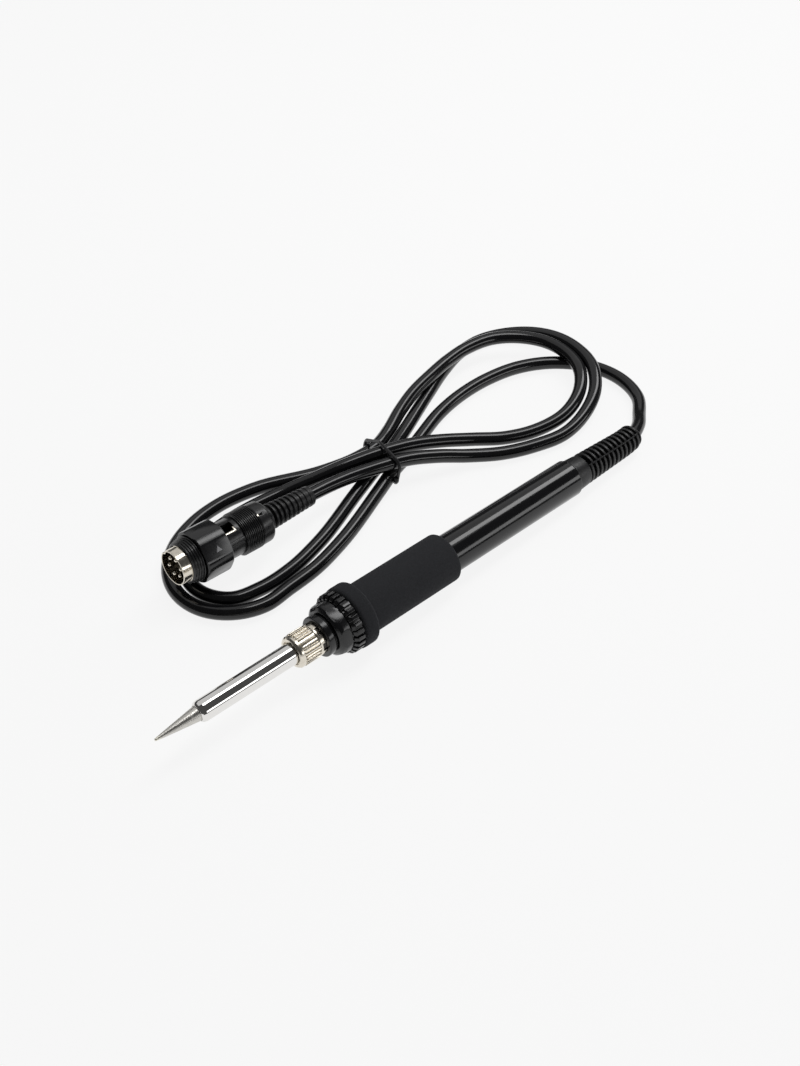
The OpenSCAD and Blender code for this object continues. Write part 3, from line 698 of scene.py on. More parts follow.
def warm_nickel(name, place=IRON, rough=(0.16, 0.30)):
    """Nickel plate, slightly warm, with turning marks."""
    f = Finish(name, colours().nickel, 0.2, 1.0, place)
    return f.grained((0.08, 1.6, 4), (*rough, 0.8, 4), (0.002, 1.0, 0.3, 4, (0.2, 0.2, 4.0)))


def gloss_moulding(name, rough, base=None, place=IRON):
    """Hard glossy plastic with a faint orange peel and fingerprint dullness."""
    f = Finish(name, base or colours().gloss_black, 0.12, 0.0, place, IOR=1.5)
    return f.grained((0.12, 6, 3), (*rough, 4.5, 5), (0.0015, 0.5, 1.1, 2))


def satin_moulding(name):
    """Plug plastic: satin, with a fine eroded grain."""
    f = Finish(name, colours().satin_black, 0.3, 0.0, PLUG)
    return f.grained((0.15, 3, 4), (0.24, 0.36, 2.2, 4), (0.004, 0.6, 0.12, 3))


def grip_foam(name):
    """Closed-cell foam: matte, speckled, with small open cells in its skin."""
    c = colours().foam
    f = Finish(name, c, 0.93, 0.0, IRON, Specular_IOR_Level=0.35, Sheen_Weight=0.06,
               Sheen_Roughness=0.6, Sheen_Tint=(0.55, 0.57, 0.62, 1))
    speck = f.noise(0.22, 4)
    f.colour(speck, [v * 0.40 for v in c], [v * 1.15 for v in c], 0.36, 0.68)
    f.rough(speck, 0.85, 1.0)
    f.bump(f.cells(0.42), 0.10, 0.55)
    f.bump(f.noise(0.16, 4), 0.05, 0.7)
    f.bump(f.noise(5, 2), 0.12, 0.5)
    return f.mat


def soft_rubber(name, place=IRON):
    """Moulded rubber: satin with a dusty bloom."""
    f = Finish(name, colours().rubber, 0.42, 0.0, place, Specular_IOR_Level=0.45)
    return f.grained((0.22, 1.8, 5), (0.34, 0.50, 1.2, 4), (0.006, 0.6, 0.15, 3))


def cord_jacket(name):
    """Flexible cord jacket: satin, with a faint drawn grain."""
    f = Finish(name, colours().jacket, 0.25, 0.0, NO_AXIS, Specular_IOR_Level=0.5)
    return f.grained((0.18, 2.5, 4), (0.11, 0.17, 1.6, 4), (0.0012, 0.5, 0.25, 3), (0.03, 0.5, 7, 2))


def inner_finish(name, base, rough, metal, grain, relief, place=IRON):
    """Finish of a piece that is mostly covered, grained as its stuff is."""
    f = Finish(name, base, rough, metal, place)
    dull = (max(0.05, rough - 0.08), min(1, rough + 0.08), grain * 2, 3)
    return f.grained((0.10, grain * 3, 4), dull, (relief, 0.6, grain, 3))


def board_finish(name):
    """Glass-fibre board: green, with the weave showing faintly."""
    f = Finish(name, colours().board, 0.35, 0.0, IRON)
    weave = f.node("ShaderNodeTexWave", {"Scale": 1.6, "Distortion": 0.6, "Vector": f.space}, "Fac")
    f.shade(weave, 0.12)
    f.rough(f.noise(0.8), 0.28, 0.42)
    f.bump(weave, 0.01, 0.5)
    return f.mat


def plug_nickel():
    """The plug's bright nickel."""
    return made("plug_nickel", warm_nickel, PLUG, (0.10, 0.24))


def dress(name, material):
    """Gives a CAD node that stays a better material."""
    for slot in frame["nodes"][name].material_slots:
        slot.material = material


def use(obj, material):
    """Gives a new piece its material."""
    obj.data.materials.clear()
    obj.data.materials.append(material)
    return obj


def take_over(obj, body, slot, *nodes):
    """Lets a piece ride on its body in place of its CAD nodes."""
    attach(obj, body)
    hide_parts(*nodes)


# ---- the iron


class IRON_OT_tip(bpy.types.Operator):
    """Plated cone tip with its barrel"""

    bl_idname = "soldering_iron.tip"
    bl_label = "Tip"

    def execute(self, context):
        s = iron_mm()
        r, cone, barrel, bore = s.tip_point / 2, s.tip_cone / 2, 3.25, 2.1
        step, end, bottom = s.mouth + MOUTH_WALL, s.mouth + 27.1, s.mouth + 4.1
        outline = [(0.0, 0.0, 0)]
        for k in range(1, 9):
            a = math.radians(90 * k / 9)
            outline.append((r - r * math.cos(a), r * math.sin(a), 0))
        outline += [
            (r, r, 0.2), (0.4 * s.mouth, 0.52 * cone, 6.0), (s.mouth - 0.8, 0.975 * cone, 2.0),
            (s.mouth, cone, 0.1), (step, cone, 0), (step, barrel, 0.2), (end, barrel, 0.4),
            (end, bore, 0.1), (bottom, bore, 0), (bottom, 0.0, 0),
        ]
        tip = use(turned("tip_cone", outline, IRON), made("tip_plating", tip_plating))
        take_over(tip, "enclosure", "plated_tip", "tip")
        return {"FINISHED"}


class IRON_OT_enclosure(bpy.types.Operator):
    """Polished steel tube that holds the tip on the heater"""

    bl_idname = "soldering_iron.enclosure"
    bl_label = "Tip enclosure"

    def execute(self, context):
        s = iron_mm()
        r, bore, hole = s.pipe / 2, s.pipe / 2 - 0.4, s.tip_cone / 2 + 0.1
        at, end = s.mouth, s.nut_at + 3.15
        outline = [
            (at, hole, 0.2), (at, r - 0.85, 0.35), (at + 0.55, r - 0.33, 0.6), (at + 1.7, r, 0.9),
            (end - 1, r, 0), (end - 1, r + 1, 0.1), (end, r + 1, 0.1), (end, bore, 0),
            (at + MOUTH_WALL, bore, 0), (at + MOUTH_WALL, hole, 0),
        ]
        tube = use(turned("enclosure_tube", outline, IRON, 128), made("polished_steel", polished_steel))
        take_over(tube, "enclosure", "polished_steel", "tip_enclosure")
        return {"FINISHED"}


class IRON_OT_nut(bpy.types.Operator):
    """Knurled nut over the enclosure's flange"""

    bl_idname = "soldering_iron.nut"
    bl_label = "Enclosure nut"

    def execute(self, context):
        s = iron_mm()
        r, at, end = s.nut / 2, s.nut_at, s.nut_end
        bore, hole = r - 0.8, s.pipe / 2 + 0.08
        low, high = at + 1.9, end - 2.3
        outline = [
            (at, hole + 0.42, 0.1), (at, r - 0.6, 0.3), (at + 0.75, r - 0.05, 0.3),
            (low - 0.25, r - 0.05, 0.15), (low, r - 0.34, 0.05), (high, r - 0.34, 0.05),
            (high + 0.25, r, 0.15), (end, r, 0.2), (end, bore, 0.1), (at + 2, bore, 0),
            (at + 2, hole, 0), (at + 0.8, hole, 0), (at + 0.8, hole + 0.42, 0.05),
        ]
        nickel = made("warm_nickel", warm_nickel)
        body = turned("nut_body", outline, IRON, 128)
        floor = r - 0.42
        notch = turned("notch", [
            (end - 1.5, floor, 0), (end + 1, floor, 0), (end + 1, r + 1, 0), (end - 1.5, r + 1, 0),
        ], LOOSE)
        wedge = block("wedge", (0, -1.5, end - 3), (2 * r, 1.5, end + 3), LOOSE, 0.05)
        tooth = cut(notch, wedge, operation="INTERSECT")
        teeth = round_axis(tooth, 6, IRON, nickel, "notches", 0.35)
        body = use(cut(body, teeth, 0.07), nickel)
        foot, top = r - 0.36, r - 0.2
        ridge = swept("ridge", [
            (foot, 0, low + 0.02), (top, 0, low + 0.3), (top, 0, high - 0.3), (foot, 0, high - 0.02),
        ], [0.18, 0.34, 0.34, 0.18], LOOSE, 8)
        knurl = round_axis(ridge, s.nut_ridges, IRON, nickel, "nut_knurl")
        nut = joined("knurled_nut", body, knurl)
        take_over(nut, "nut", "warm_nickel", "enclosure_nut")
        return {"FINISHED"}


class IRON_OT_nipple(bpy.types.Operator):
    """Glossy black nipple with slanted flats and a ribbed ring"""

    bl_idname = "soldering_iron.nipple"
    bl_label = "Nipple"

    def execute(self, context):
        s = iron_mm()
        at, ring, end = s.nipple_at, s.ring_at, s.ring_end
        lip, neck, r, big = s.nut / 2 + 1.6, s.nut / 2 + 0.9, s.nipple / 2, s.nipple_ring / 2
        bore, thread, floor = s.nut / 2 - 0.88, s.handle / 2 + 0.73, big - 0.75
        outline = [
            (at, bore, 0.1), (at, lip, 0.55), (at + 2.6, lip, 0.45), (at + 2.75, neck, 0.15),
            (at + 3.3, neck, 0.15), (at + 3.4, r - 1.6, 0.35), (at + 4.3, r - 0.45, 0.8),
            (at + 5.4, r, 0.9), (ring - 0.1, r, 0.3), (ring, r - 0.5, 0.1), (ring + 0.3, r - 0.3, 0.1),
            (ring + 1.2, floor, 0.3), (end, floor, 0.1), (end, thread, 0), (at + 4.9, thread, 0),
            (at + 4.9, bore, 0),
        ]
        black = made("gloss_black_nipple", gloss_moulding, (0.17, 0.25))
        body = turned("nipple_body", outline, IRON, 160)
        place = Matrix.Translation((r - 0.60, 0, at + 5.7)) @ about_axis(7, "Y") @ about_axis(27, "X")
        plane = block("plane", (0, -7, -5.5), (4, 7, 2.7), place, 0.02)
        planes = round_axis(plane, 6, IRON, black, "planes", 0.25)
        body = use(cut(body, planes, 0.10, 25), black)
        foot = r - 0.9
        rib = bar("rib", [
            (foot, ring + 0.12), (r + 0.35, ring + 0.12), (big, ring + 1.15), (big, end - 0.05),
            (foot, end - 0.05),
        ], 1.45, LOOSE, 0.22)
        ribs = round_axis(rib, s.nipple_ribs, IRON, black, "nipple_ribs")
        nipple = joined("slotted_nipple", body, ribs)
        take_over(nipple, "nipple", "black_gloss_plastic", "nipple")
        return {"FINISHED"}


class IRON_OT_handle(bpy.types.Operator):
    """Glossy handle tube, bare of any printing"""

    bl_idname = "soldering_iron.handle"
    bl_label = "Handle"

    def execute(self, context):
        s = iron_mm()
        r, at, end = s.handle / 2, s.handle_at, s.handle_end
        bore, step = r - 1.7, end - 2.5
        outline = [
            (at, r, 0.1), (end, r, 0.55), (end, HANDLE_BORE_R, 0.15), (step, HANDLE_BORE_R, 0),
            (step, bore, 0), (at, bore, 0),
        ]
        black = made("gloss_black_handle", gloss_moulding, (0.09, 0.15))
        tube = use(turned("handle_tube", outline, IRON, 128), black)
        take_over(tube, "iron", "black_gloss_plastic", "handle")
        return {"FINISHED"}


class IRON_OT_grip(bpy.types.Operator):
    """Soft foam grip with its thick front flange"""

    bl_idname = "soldering_iron.grip"
    bl_label = "Foam grip"

    def execute(self, context):
        s = iron_mm()
        at, end = s.foam_at, s.foam_end
        flange, r, bore = s.foam_flange / 2, s.foam / 2, s.handle / 2 + 0.02
        outline = [
            (at, bore, 0.2), (at, flange, 1.6), (at + 6, flange, 2.4), (at + 6.1, r, 0.8),
            (end, r, 1.9), (end, bore, 0.25),
        ]
        grip = use(turned("grip_foam", outline, IRON, 128, 60), made("foam_skin", grip_foam))
        take_over(grip, "iron", "foam", "foam_grip")
        return {"FINISHED"}


class IRON_OT_boot(bpy.types.Operator):
    """Cord boot: smooth collar, then staggered half ribs on a bent core"""

    bl_idname = "soldering_iron.boot"
    bl_label = "Cord boot"

    def execute(self, context):
        s = iron_mm()
        end, cord = s.handle_end, context.scene.cord_sizes.cord / MM / 2
        rubber = made("soft_rubber", soft_rubber)
        big, neck, back = s.handle / 2 - 0.7, HANDLE_BORE_R - 0.05, s.ribs_at - 0.1
        collar = turned("boot_collar", [
            (end - 5.7, cord, 0), (end - 5.7, 5.2, 0.2), (end - 2.55, 5.2, 0.1), (end - 2.55, neck, 0),
            (end + 0.05, neck, 0), (end + 0.05, big, 0.3), (back, big - 0.5, 0.35), (back, 4.0, 0),
            (s.ribs_at, cord, 0),
        ], IRON)
        core = cut(boot_tube(s, "boot_core", cord + 1.4), boot_tube(s, "boot_bore", cord, 1.0), 0.15)
        parts = [use(collar, rubber), use(core, rubber)]
        pitch = s.ribs_len / (s.boot_ribs + 0.5)
        big_rib, small_rib = big - 0.5, cord + 2.4
        for label, shift, turn in (("upper", 0.7, SEAM_TURN - 90), ("lower", 0.2, SEAM_TURN + 90)):
            rib = half_rib("rib_" + label, big_rib, 0.46 * pitch)
            first, last = shift * pitch, (shift + s.boot_ribs - 1) * pitch
            way = [along_boot(s, first + (last - first) * k / 40) for k in range(41)]
            parts.append(along_path(rib, way, s.boot_ribs, IRON, rubber, "ribs_" + label,
                                    math.radians(turn), small_rib / big_rib))
        for turn in (SEAM_TURN, SEAM_TURN + 180):
            parts.append(use(boot_seam(s, big_rib - 0.3, small_rib - 0.3, turn), rubber))
        rim = cord + 1.9
        line = [along_boot(s, s.ribs_len - 0.9 + 0.9 * k / 4) for k in range(5)]
        lip = swept("boot_lip", line, [rim - 0.4, rim - 0.1, rim, rim - 0.1, rim - 0.4], IRON, 48)
        parts.append(use(cut(lip, boot_tube(s, "boot_throat", cord, 1.0), 0.1), rubber))
        boot = joined("ribbed_boot", *parts)
        take_over(boot, "iron", "black_rubber", "cord_boot")
        return {"FINISHED"}


def along_boot(s, reach):
    """A point at a length along the boot's ribbed part, in the iron's own millimetres."""
    straight = min(reach, BOOT_STRAIGHT)
    turn = max(0.0, reach - BOOT_STRAIGHT) / BOOT_BEND_R
    side = BOOT_BEND_R * (1 - math.cos(turn))
    return (0.0, side, s.ribs_at + straight + BOOT_BEND_R * math.sin(turn))


def boot_tube(s, name, r, past=0.0):
    """A round bar along the whole of the boot's core, and past its end."""
    before = 0.6
    whole = s.ribs_len + before + past
    line = [along_boot(s, -before + whole * k / (BOOT_STEPS - 1)) for k in range(BOOT_STEPS)]
    return swept(name, line, [r] * BOOT_STEPS, IRON, 48)


def boot_seam(s, r1, r2, turn):
    """The thin line along the boot that joins the ends of its half ribs."""
    a = math.radians(turn)
    path = []
    for k in range(25):
        r = r1 + (r2 - r1) * k / 24
        x, y, z = along_boot(s, 0.3 + (s.ribs_len - 1.2) * k / 24)
        path.append((x + r * math.cos(a), y + r * math.sin(a), z))
    return swept("boot_seam", path, [0.28] * len(path), IRON, 8)


def half_rib(name, r, thick):
    """Half of a rib with rounded edges, its start at the origin, over a little more than half a turn."""
    foot = r - 2.6
    rim = softened([(0, foot, 0), (0, r, 0.3), (thick, r, 0.3), (thick, foot, 0)], 3)
    bm = bmesh.new()
    rings = []
    for k in range(29):
        a = math.radians(-93 + 186 * k / 28)
        rings.append([bm.verts.new((p[1] * math.cos(a), p[1] * math.sin(a), p[0])) for p in rim])
    for a, b in zip(rings, rings[1:]):
        bridge(bm, a, b)
    cap(bm, rings)
    return finished_mesh(bm, name, LOOSE, 50)


# Look of a covered piece: its colour, roughness, metal, grain and relief
INNER_LOOKS = {
    "drawn_wire": ((0.62, 0.62, 0.63), 0.25, 1.0, 0.3, 0.004),
    "tinned_wire": ((0.74, 0.74, 0.74), 0.3, 1.0, 0.2, 0.006),
    "solder": ((0.66, 0.66, 0.66), 0.35, 1.0, 0.3, 0.01),
    "dark_insulation": ((0.012, 0.010, 0.009), 0.4, 0.0, 0.5, 0.01, PLUG),
}


class IRON_OT_inside(bpy.types.Operator):
    """Finishes for the pieces inside the iron, which keep their solids"""

    bl_idname = "soldering_iron.inside"
    bl_label = "Inside"

    def execute(self, context):
        look = {name: made(name, inner_finish, *values) for name, values in INNER_LOOKS.items()}
        jacket = made("cord_jacket", cord_jacket)
        for name, material in {
            "nipple_insert": made("warm_nickel", warm_nickel), "ground_spring": look["drawn_wire"],
            "heating_element": made("ceramic", inner_finish, colours().ceramic, 0.6, 0.0, 0.3, 0.01),
            "element_collar": made("polished_steel", polished_steel),
            "heater_leads": look["tinned_wire"], "solder_joints": look["solder"],
            "terminal_board": made("board", board_finish),
            "connection_cover": made("satin_moulding", satin_moulding),
            "handle_wires": made("insulation", inner_finish, colours().insulation, 0.4, 0.0, 0.5, 0.01),
            "cord_stopper": made("soft_rubber", soft_rubber), "cord_in_handle": jacket,
            "plug_wires": look["dark_insulation"], "plug_cord_clamp": look["tinned_wire"],
            "cord_in_plug": jacket,
        }.items():
            dress(name, material)
        return {"FINISHED"}


# ---- the cord and its tie

# Heights of the cord's middle in millimetres: on the table, over another strand, in the tie
LOW, OVER, IN_TIE = 2.85, 8.3, 4.2

# The middle of the cord in millimetres, from the boot's end to the plug's boot, as the part's
# source has it. The strands were read off the photo, carried to the table with the camera,
# then rounded and adjusted. Heights where strands cross are guessed.
CORD_WAY = [
    (121, 3.6, 4.9), (128.5, 9, 3.5),
    # right end, under the two turns, to the tie
    (137.6, 17.6, LOW), (141.6, 31.2, LOW), (138.6, 45, LOW), (129.4, 56.7, LOW), (116, 64.6, LOW),
    (101, 67.8, LOW), (86, 67.9, LOW), (70, 65.2, LOW), (54, 59.6, LOW), (40, 53.8, 3.6),
    (30, 50.3, IN_TIE), (20, 46.5, 3.6),
    # left end, outer strand, past the plug's face and back to the tie
    (-10, 35.4, LOW), (-24, 32, LOW), (-37, 30.9, LOW), (-48.5, 30.4, LOW), (-59, 35.2, LOW),
    (-66.1, 44.3, LOW), (-67.7, 55.6, LOW), (-63.6, 66.6, LOW), (-55, 75, LOW), (-43, 80.4, LOW),
    (-29, 82.2, LOW), (-15, 80.4, LOW), (12, 69.6, 3.2), (24, 66.2, 4), (35, 66, IN_TIE),
    # over the other turn, right end, inner strand
    (46.5, 70.4, 3.6), (57, 75, 5.2), (67, 78, 7.4), (79, 80.6, OVER), (92, 83.2, OVER), (105, 84, OVER),
    (117, 81.4, OVER), (126.5, 74, OVER), (132.2, 63.5, OVER), (132.4, 51.8, OVER), (127.5, 40.9, OVER),
    (118.4, 33, 6.6), (105, 29, 4.4), (91.5, 31, LOW), (78.6, 36, 3), (66.5, 43.2, 4.6), (54.5, 48.8, 7.2),
    (43, 53.2, 9.2),
    # over the tie's crossing, behind the plug and under it
    (31, 57.2, 9.7), (18, 61.4, 8.8), (4, 66.2, 6.2), (-10, 70.9, 3.6), (-24, 72.9, LOW), (-37, 72.3, LOW),
    (-48.4, 70, LOW), (-56.8, 65.2, LOW), (-61.3, 57, LOW), (-60.6, 47.9, LOW), (-55.2, 40.5, LOW),
    (-45, 37.5, LOW), (-31, 37.6, LOW), (-16, 40.9, LOW), (14, 52, 3.4), (26, 56, IN_TIE), (37, 59.7, 4),
    (48, 64.8, 3.2),
    # right end, outer strand
    (76, 78, LOW), (91, 84.6, LOW), (105, 88.9, LOW), (118, 89.2, LOW), (128.7, 84.8, 3.2),
    (135.6, 75.8, 5.2), (138.6, 64, 7.4), (138, 51.5, OVER), (133.4, 39.1, OVER), (124.4, 29.6, 6.4),
    (111.6, 23.8, 4.2), (97.6, 21.9, LOW), (84, 24.8, LOW), (71, 30.2, 3),
    # over the tie's crossing to the plug
    (58.5, 37.4, 4.4), (47, 43, 7.4), (36, 47.6, 9.5), (24.5, 51.5, 9.9), (10, 55.6, 9.6),
]


def cord_way():
    """The cord's points in metres, from the end of the iron's boot to the end of the plug's."""
    s = iron_mm()
    out = IRON @ Vector(along_boot(s, s.ribs_len))
    home = PLUG @ Vector((0, 0, plug_mm().boot_end))
    return [out] + [Vector([v * MM for v in p]) for p in CORD_WAY] + [home]


class IRON_OT_cord(bpy.types.Operator):
    """Flexible cord from the iron's boot to the plug's"""

    bl_idname = "soldering_iron.cord"
    bl_label = "Cord"

    def execute(self, context):
        way = cord_way()
        curve = bpy.data.curves.new("cord_line", "CURVE")
        curve.dimensions = "3D"
        curve.bevel_depth = context.scene.cord_sizes.cord / 2
        curve.bevel_resolution = 6
        curve.resolution_u = 8
        curve.twist_mode = "Z_UP"
        curve.use_fill_caps = True
        line = curve.splines.new("BEZIER")
        line.bezier_points.add(len(way) - 1)
        bend = iron_mm().boot_bend
        from_boot = (IRON.to_3x3() @ Vector((0, math.sin(bend), math.cos(bend)))).normalized()
        into_plug = -(PLUG.to_3x3() @ Vector((0, 0, 1))).normalized()
        for i, (knot, p) in enumerate(zip(line.bezier_points, way)):
            a, b = way[max(i - 1, 0)], way[min(i + 1, len(way) - 1)]
            before, after = (p - a).length, (b - p).length
            if i == 0:
                ahead = from_boot
            elif i == len(way) - 1:
                ahead = into_plug
            else:
                ahead = ((p - a) * after / before + (b - p) * before / after).normalized()
            knot.handle_left_type = knot.handle_right_type = "FREE"
            knot.co = p
            knot.handle_left = p - ahead * before / 3
            knot.handle_right = p + ahead * after / 3
        cord = use(fresh_object("flexible_cord", curve), made("cord_jacket", cord_jacket))
        take_over(cord, "iron", "cord_jacket", "cord")
        return {"FINISHED"}


class IRON_OT_tie(bpy.types.Operator):
    """Plastic-coated tie round the bundle, its ends twisted"""

    bl_idname = "soldering_iron.tie"
    bl_label = "Tie"

    def execute(self, context):
        c = context.scene.cord_sizes
        t = c.tie / MM / 2
        place = Matrix.Scale(MM, 4) @ Matrix.Translation((31.4, 58.0, 0.0)) @ about_axis(-10)
        reach = c.cord / MM / 2 + 0.8 + t
        hubs = [Vector(p) for p in ((-9, 9.6), (-0.8, 9.6), (8.2, 4.2), (-7.8, 4.2))]
        around = []
        for k in range(96):
            a = 2 * math.pi * k / 96
            ray = Vector((math.cos(a), math.sin(a)))
            far = max(h.dot(ray) for h in hubs)
            near = [h for h in hubs if h.dot(ray) > far - 1e-6][0]
            p = near + ray * reach
            around.append((0.25 * math.sin(3 * a), p.x, max(p.y, 0.68)))
        loop = evened(around, 120)
        parts = [swept("tie_loop", loop, [t] * len(loop), place, 10, True, 0.8)]
        ends = (((0, 10.9, 4.4), (0.8, 0.9, 0.1)), ((0.2, -11.0, 4.0), (-0.55, -0.7, 0.2)))
        for root, aim in ends:
            ahead = Vector(aim).normalized()
            side = ahead.orthogonal().normalized()
            up = ahead.cross(side)
            for phase in (0, math.pi):
                path = []
                for k in range(25):
                    a = phase + k * 0.62
                    wind = (side * math.cos(a) + up * math.sin(a)) * t * 0.8
                    path.append(Vector(root) + ahead * (k * 0.115) + wind)
                parts.append(swept("twist", path, [t * 0.85] * len(path), place, 10))
        coat = made("tie_coat", inner_finish, (0.02, 0.02, 0.022), 0.42, 0.0, 0.4, 0.01, NO_AXIS)
        tie = joined("twisted_tie", *[use(piece, coat) for piece in parts])
        take_over(tie, "iron", "tie_plastic", "cord_tie")
        return {"FINISHED"}


def evened(points, number):
    """The closed line of points, with a number of points evenly along it."""
    pts = [Vector(p) for p in points]
    pts.append(pts[0])
    sums = [0.0]
    for a, b in zip(pts, pts[1:]):
        sums.append(sums[-1] + (b - a).length)
    out, j = [], 0
    for k in range(number):
        want = sums[-1] * k / number
        while sums[j + 1] < want:
            j += 1
        f = (want - sums[j]) / max(sums[j + 1] - sums[j], 1e-9)
        out.append(pts[j].lerp(pts[j + 1], f))
    return out


# ---- the plug


def rod(name, start, end, r, place, steps=48):
    """A plain bar from one station to another, round when it has many steps."""
    return turned(name, [(start, 0, 0), (start, r, 0), (end, r, 0), (end, 0, 0)], place, steps)


class IRON_OT_plug_shell(bpy.types.Operator):
    """Nickel shell with its keying groove, the insulator and the contact pins"""

    bl_idname = "soldering_iron.plug_shell"
    bl_label = "Plug shell and pins"

    def execute(self, context):
        s = plug_mm()
        r, bore, end = s.shell / 2, s.shell / 2 - 0.45, s.shell_end
        before, after = -1, end + 1
        shell = turned("shell_tube", [
            (0, bore, 0.12), (0, r, 0.2), (s.ring_at, r, 0), (s.ring_at, s.seat, 0), (end, s.seat, 0),
            (end, bore, 0),
        ], PLUG, 128)
        key = PLUG @ Matrix.Translation(Vector((-math.cos(KEY_TURN), math.sin(KEY_TURN), 0)) * (r + 0.7))
        shell = cut(shell, rod("groove", before, after, 1.52, key), 0.05)
        wall = turned("key_wall", [(0, 1.3, 0.1), (0, 1.75, 0.15), (end, 1.75, 0), (end, 1.3, 0)], key, 48)
        inside = rod("inside", before, after, r - 0.22, PLUG, 96)
        wall = cut(wall, inside, operation="INTERSECT")
        shell = joined("keyed_shell", use(shell, plug_nickel()), use(wall, plug_nickel()))
        take_over(shell, "iron", "plug_nickel", "plug_shell")
        core = turned("insulator_disc", [
            (8, 0, 0), (8, bore - 0.02, 0.2), (14, bore - 0.02, 0), (14, 0, 0),
        ], PLUG)
        core = cut(core, rod("gap", before, after, 1.77, key), 0.08)
        use(core, made("insulator", inner_finish, (0.012, 0.012, 0.013), 0.4, 0.0, 0.3, 0.008, PLUG))
        take_over(core, "iron", "black_plastic", "plug_insulator")
        pin_r, root_r = s.pin / 2, s.pin / 2 + 0.2
        pin = turned("pin", [
            (0.6, 0, 0), (0.6, pin_r - 0.3, 0.25), (1.15, pin_r, 0.3), (8, pin_r, 0), (8, root_r, 0),
            (18, root_r, 0.1), (18, 0, 0),
        ], Matrix.Translation((s.pin_circle / 2, 0, 0)), 24)
        metal = made("pin_metal", warm_nickel, PLUG, (0.14, 0.26))
        pins = round_axis(pin, s.pins, PLUG, metal, "contact_pins", math.pi - KEY_TURN)
        take_over(pins, "iron", "plug_nickel", "plug_pins")
        return {"FINISHED"}


def ridges(name, number, start, end, r, finish, end_scale=1.0):
    """Fine round ridges side by side along the plug's axis."""
    pitch = (end - start) / number
    floor = r - BAND_DROP
    rib = turned("ridge", [
        (0, floor - 0.3, 0), (0, floor, 0.1), (0.26 * pitch, r, 0.25), (0.5 * pitch, r, 0.25),
        (0.76 * pitch, floor, 0.1), (0.76 * pitch, floor - 0.3, 0),
    ], LOOSE)
    way = [(0, 0, start + 0.12 * pitch + (end - start - pitch) * k / 8) for k in range(9)]
    return along_path(rib, way, number, PLUG, finish, name, 0.0, end_scale)


class IRON_OT_plug_body(bpy.types.Operator):
    """Ridged front ring, body with its window and latch, and the screwed sleeve"""

    bl_idname = "soldering_iron.plug_body"
    bl_label = "Plug body and sleeve"

    def execute(self, context):
        s = plug_mm()
        black = made("satin_moulding", satin_moulding)
        self.front_ring(s, black)
        self.body(s, black)
        self.sleeve(s, black)
        return {"FINISHED"}

    def front_ring(self, s, black):
        """The ring of fine ridges in front of the collar."""
        r = s.front_ring / 2
        ring = turned("ring_base", [
            (s.ring_at, s.seat, 0.1), (s.ring_at, RING_SMALL_R - BAND_DROP, 0.3),
            (s.body_at, r - BAND_DROP, 0.2), (s.body_at, s.seat, 0.05),
        ], PLUG)
        fine = ridges("ring_ridges", 5, s.ring_at + 0.05, s.body_at, RING_SMALL_R, black, r / RING_SMALL_R)
        ring = joined("front_ring", use(ring, black), fine)
        take_over(ring, "iron", "plug_plastic", "plug_front_ring")

    def body(self, s, black):
        """The tube behind the collar, with its window, its two ribs and the latch."""
        inner = s.shell / 2 + 1.0
        slot, bore, thread, tail = inner - 0.35, 5.65, 6.6, s.sleeve_at + 5
        front = s.collar_end + 0.15
        body = turned("body_tube", [
            (s.body_at, inner, 0), (s.body_at, s.seat, 0), (s.shell_end, s.seat, 0),
            (s.shell_end, bore, 0), (tail, bore, 0.1), (tail, thread, 0.1), (s.sleeve_at, thread, 0),
            (s.sleeve_at, slot, 0), (front, slot, 0.1), (front, inner, 0.1),
        ], PLUG)
        turn = PLUG @ about_axis(WINDOW_TURN)
        at, end = s.collar_end + 0.6, s.collar_end + 5.6
        body = use(cut(body, block("window", (5.1, -2.3, at), (9, 2.3, end), turn, 0.3), 0.1), black)
        low, high = (slot - 0.6, -0.7, s.collar_end + 0.45), (slot + 0.5, 0.7, s.sleeve_at - 0.3)
        rib = block("body_rib", low, high, LOOSE, 0.25)
        ribs = round_axis(rib, 2, PLUG, black, "body_ribs", math.radians(BODY_RIB_TURN))
        take_over(joined("plug_tube", body, ribs), "iron", "plug_plastic", "plug_body")
        top = inner - 0.45
        arm = block("latch_arm", (5.7, 1.5, at + 0.1), (top, 2.2, end - 0.1), turn, 0.12)
        foot = block("latch_foot", (5.7, 0.2, end - 0.8), (top, 2.2, end - 0.1), turn, 0.12)
        latch = joined("bright_latch", use(arm, plug_nickel()), use(foot, plug_nickel()))
        take_over(latch, "iron", "plug_nickel", "plug_latch")

    def sleeve(self, s, black):
        """The ridged sleeve with the bright slit in its smooth end."""
        r, bore, at, end = s.sleeve / 2, 6.65, s.sleeve_at, s.sleeve_end
        sleeve = turned("sleeve_tube", [
            (at, bore, 0.1), (at, r - BAND_DROP, 0.2), (end - 5.2, r - BAND_DROP, 0.1),
            (end - 5, r - 0.2, 0.2), (end, r - 0.35, 2.4), (end, 5.05, 0.15), (end - 2, 5.05, 0),
            (end - 2, bore, 0),
        ], PLUG)
        place = on_surface("sleeve_slit", sleeve, PLUG)
        slit = block("slit", (-0.9, -0.45, -0.9), (1, 0.45, 1.5), place, 0.15)
        sleeve = use(cut(sleeve, slit, 0.06), black)
        glint = block("slit_glint", (-0.35, -0.4, -0.8), (0.08, 0.4, -0.2), place, 0.12)
        fitting("sleeve_slit", use(glint, plug_nickel()))
        sleeve = joined("slit_sleeve", sleeve, glint)
        sleeve = joined("screwed_sleeve", sleeve, ridges("sleeve_ridges", 10, at + 0.2, end - 5.1, r, black))
        take_over(sleeve, "iron", "plug_plastic", "plug_sleeve")


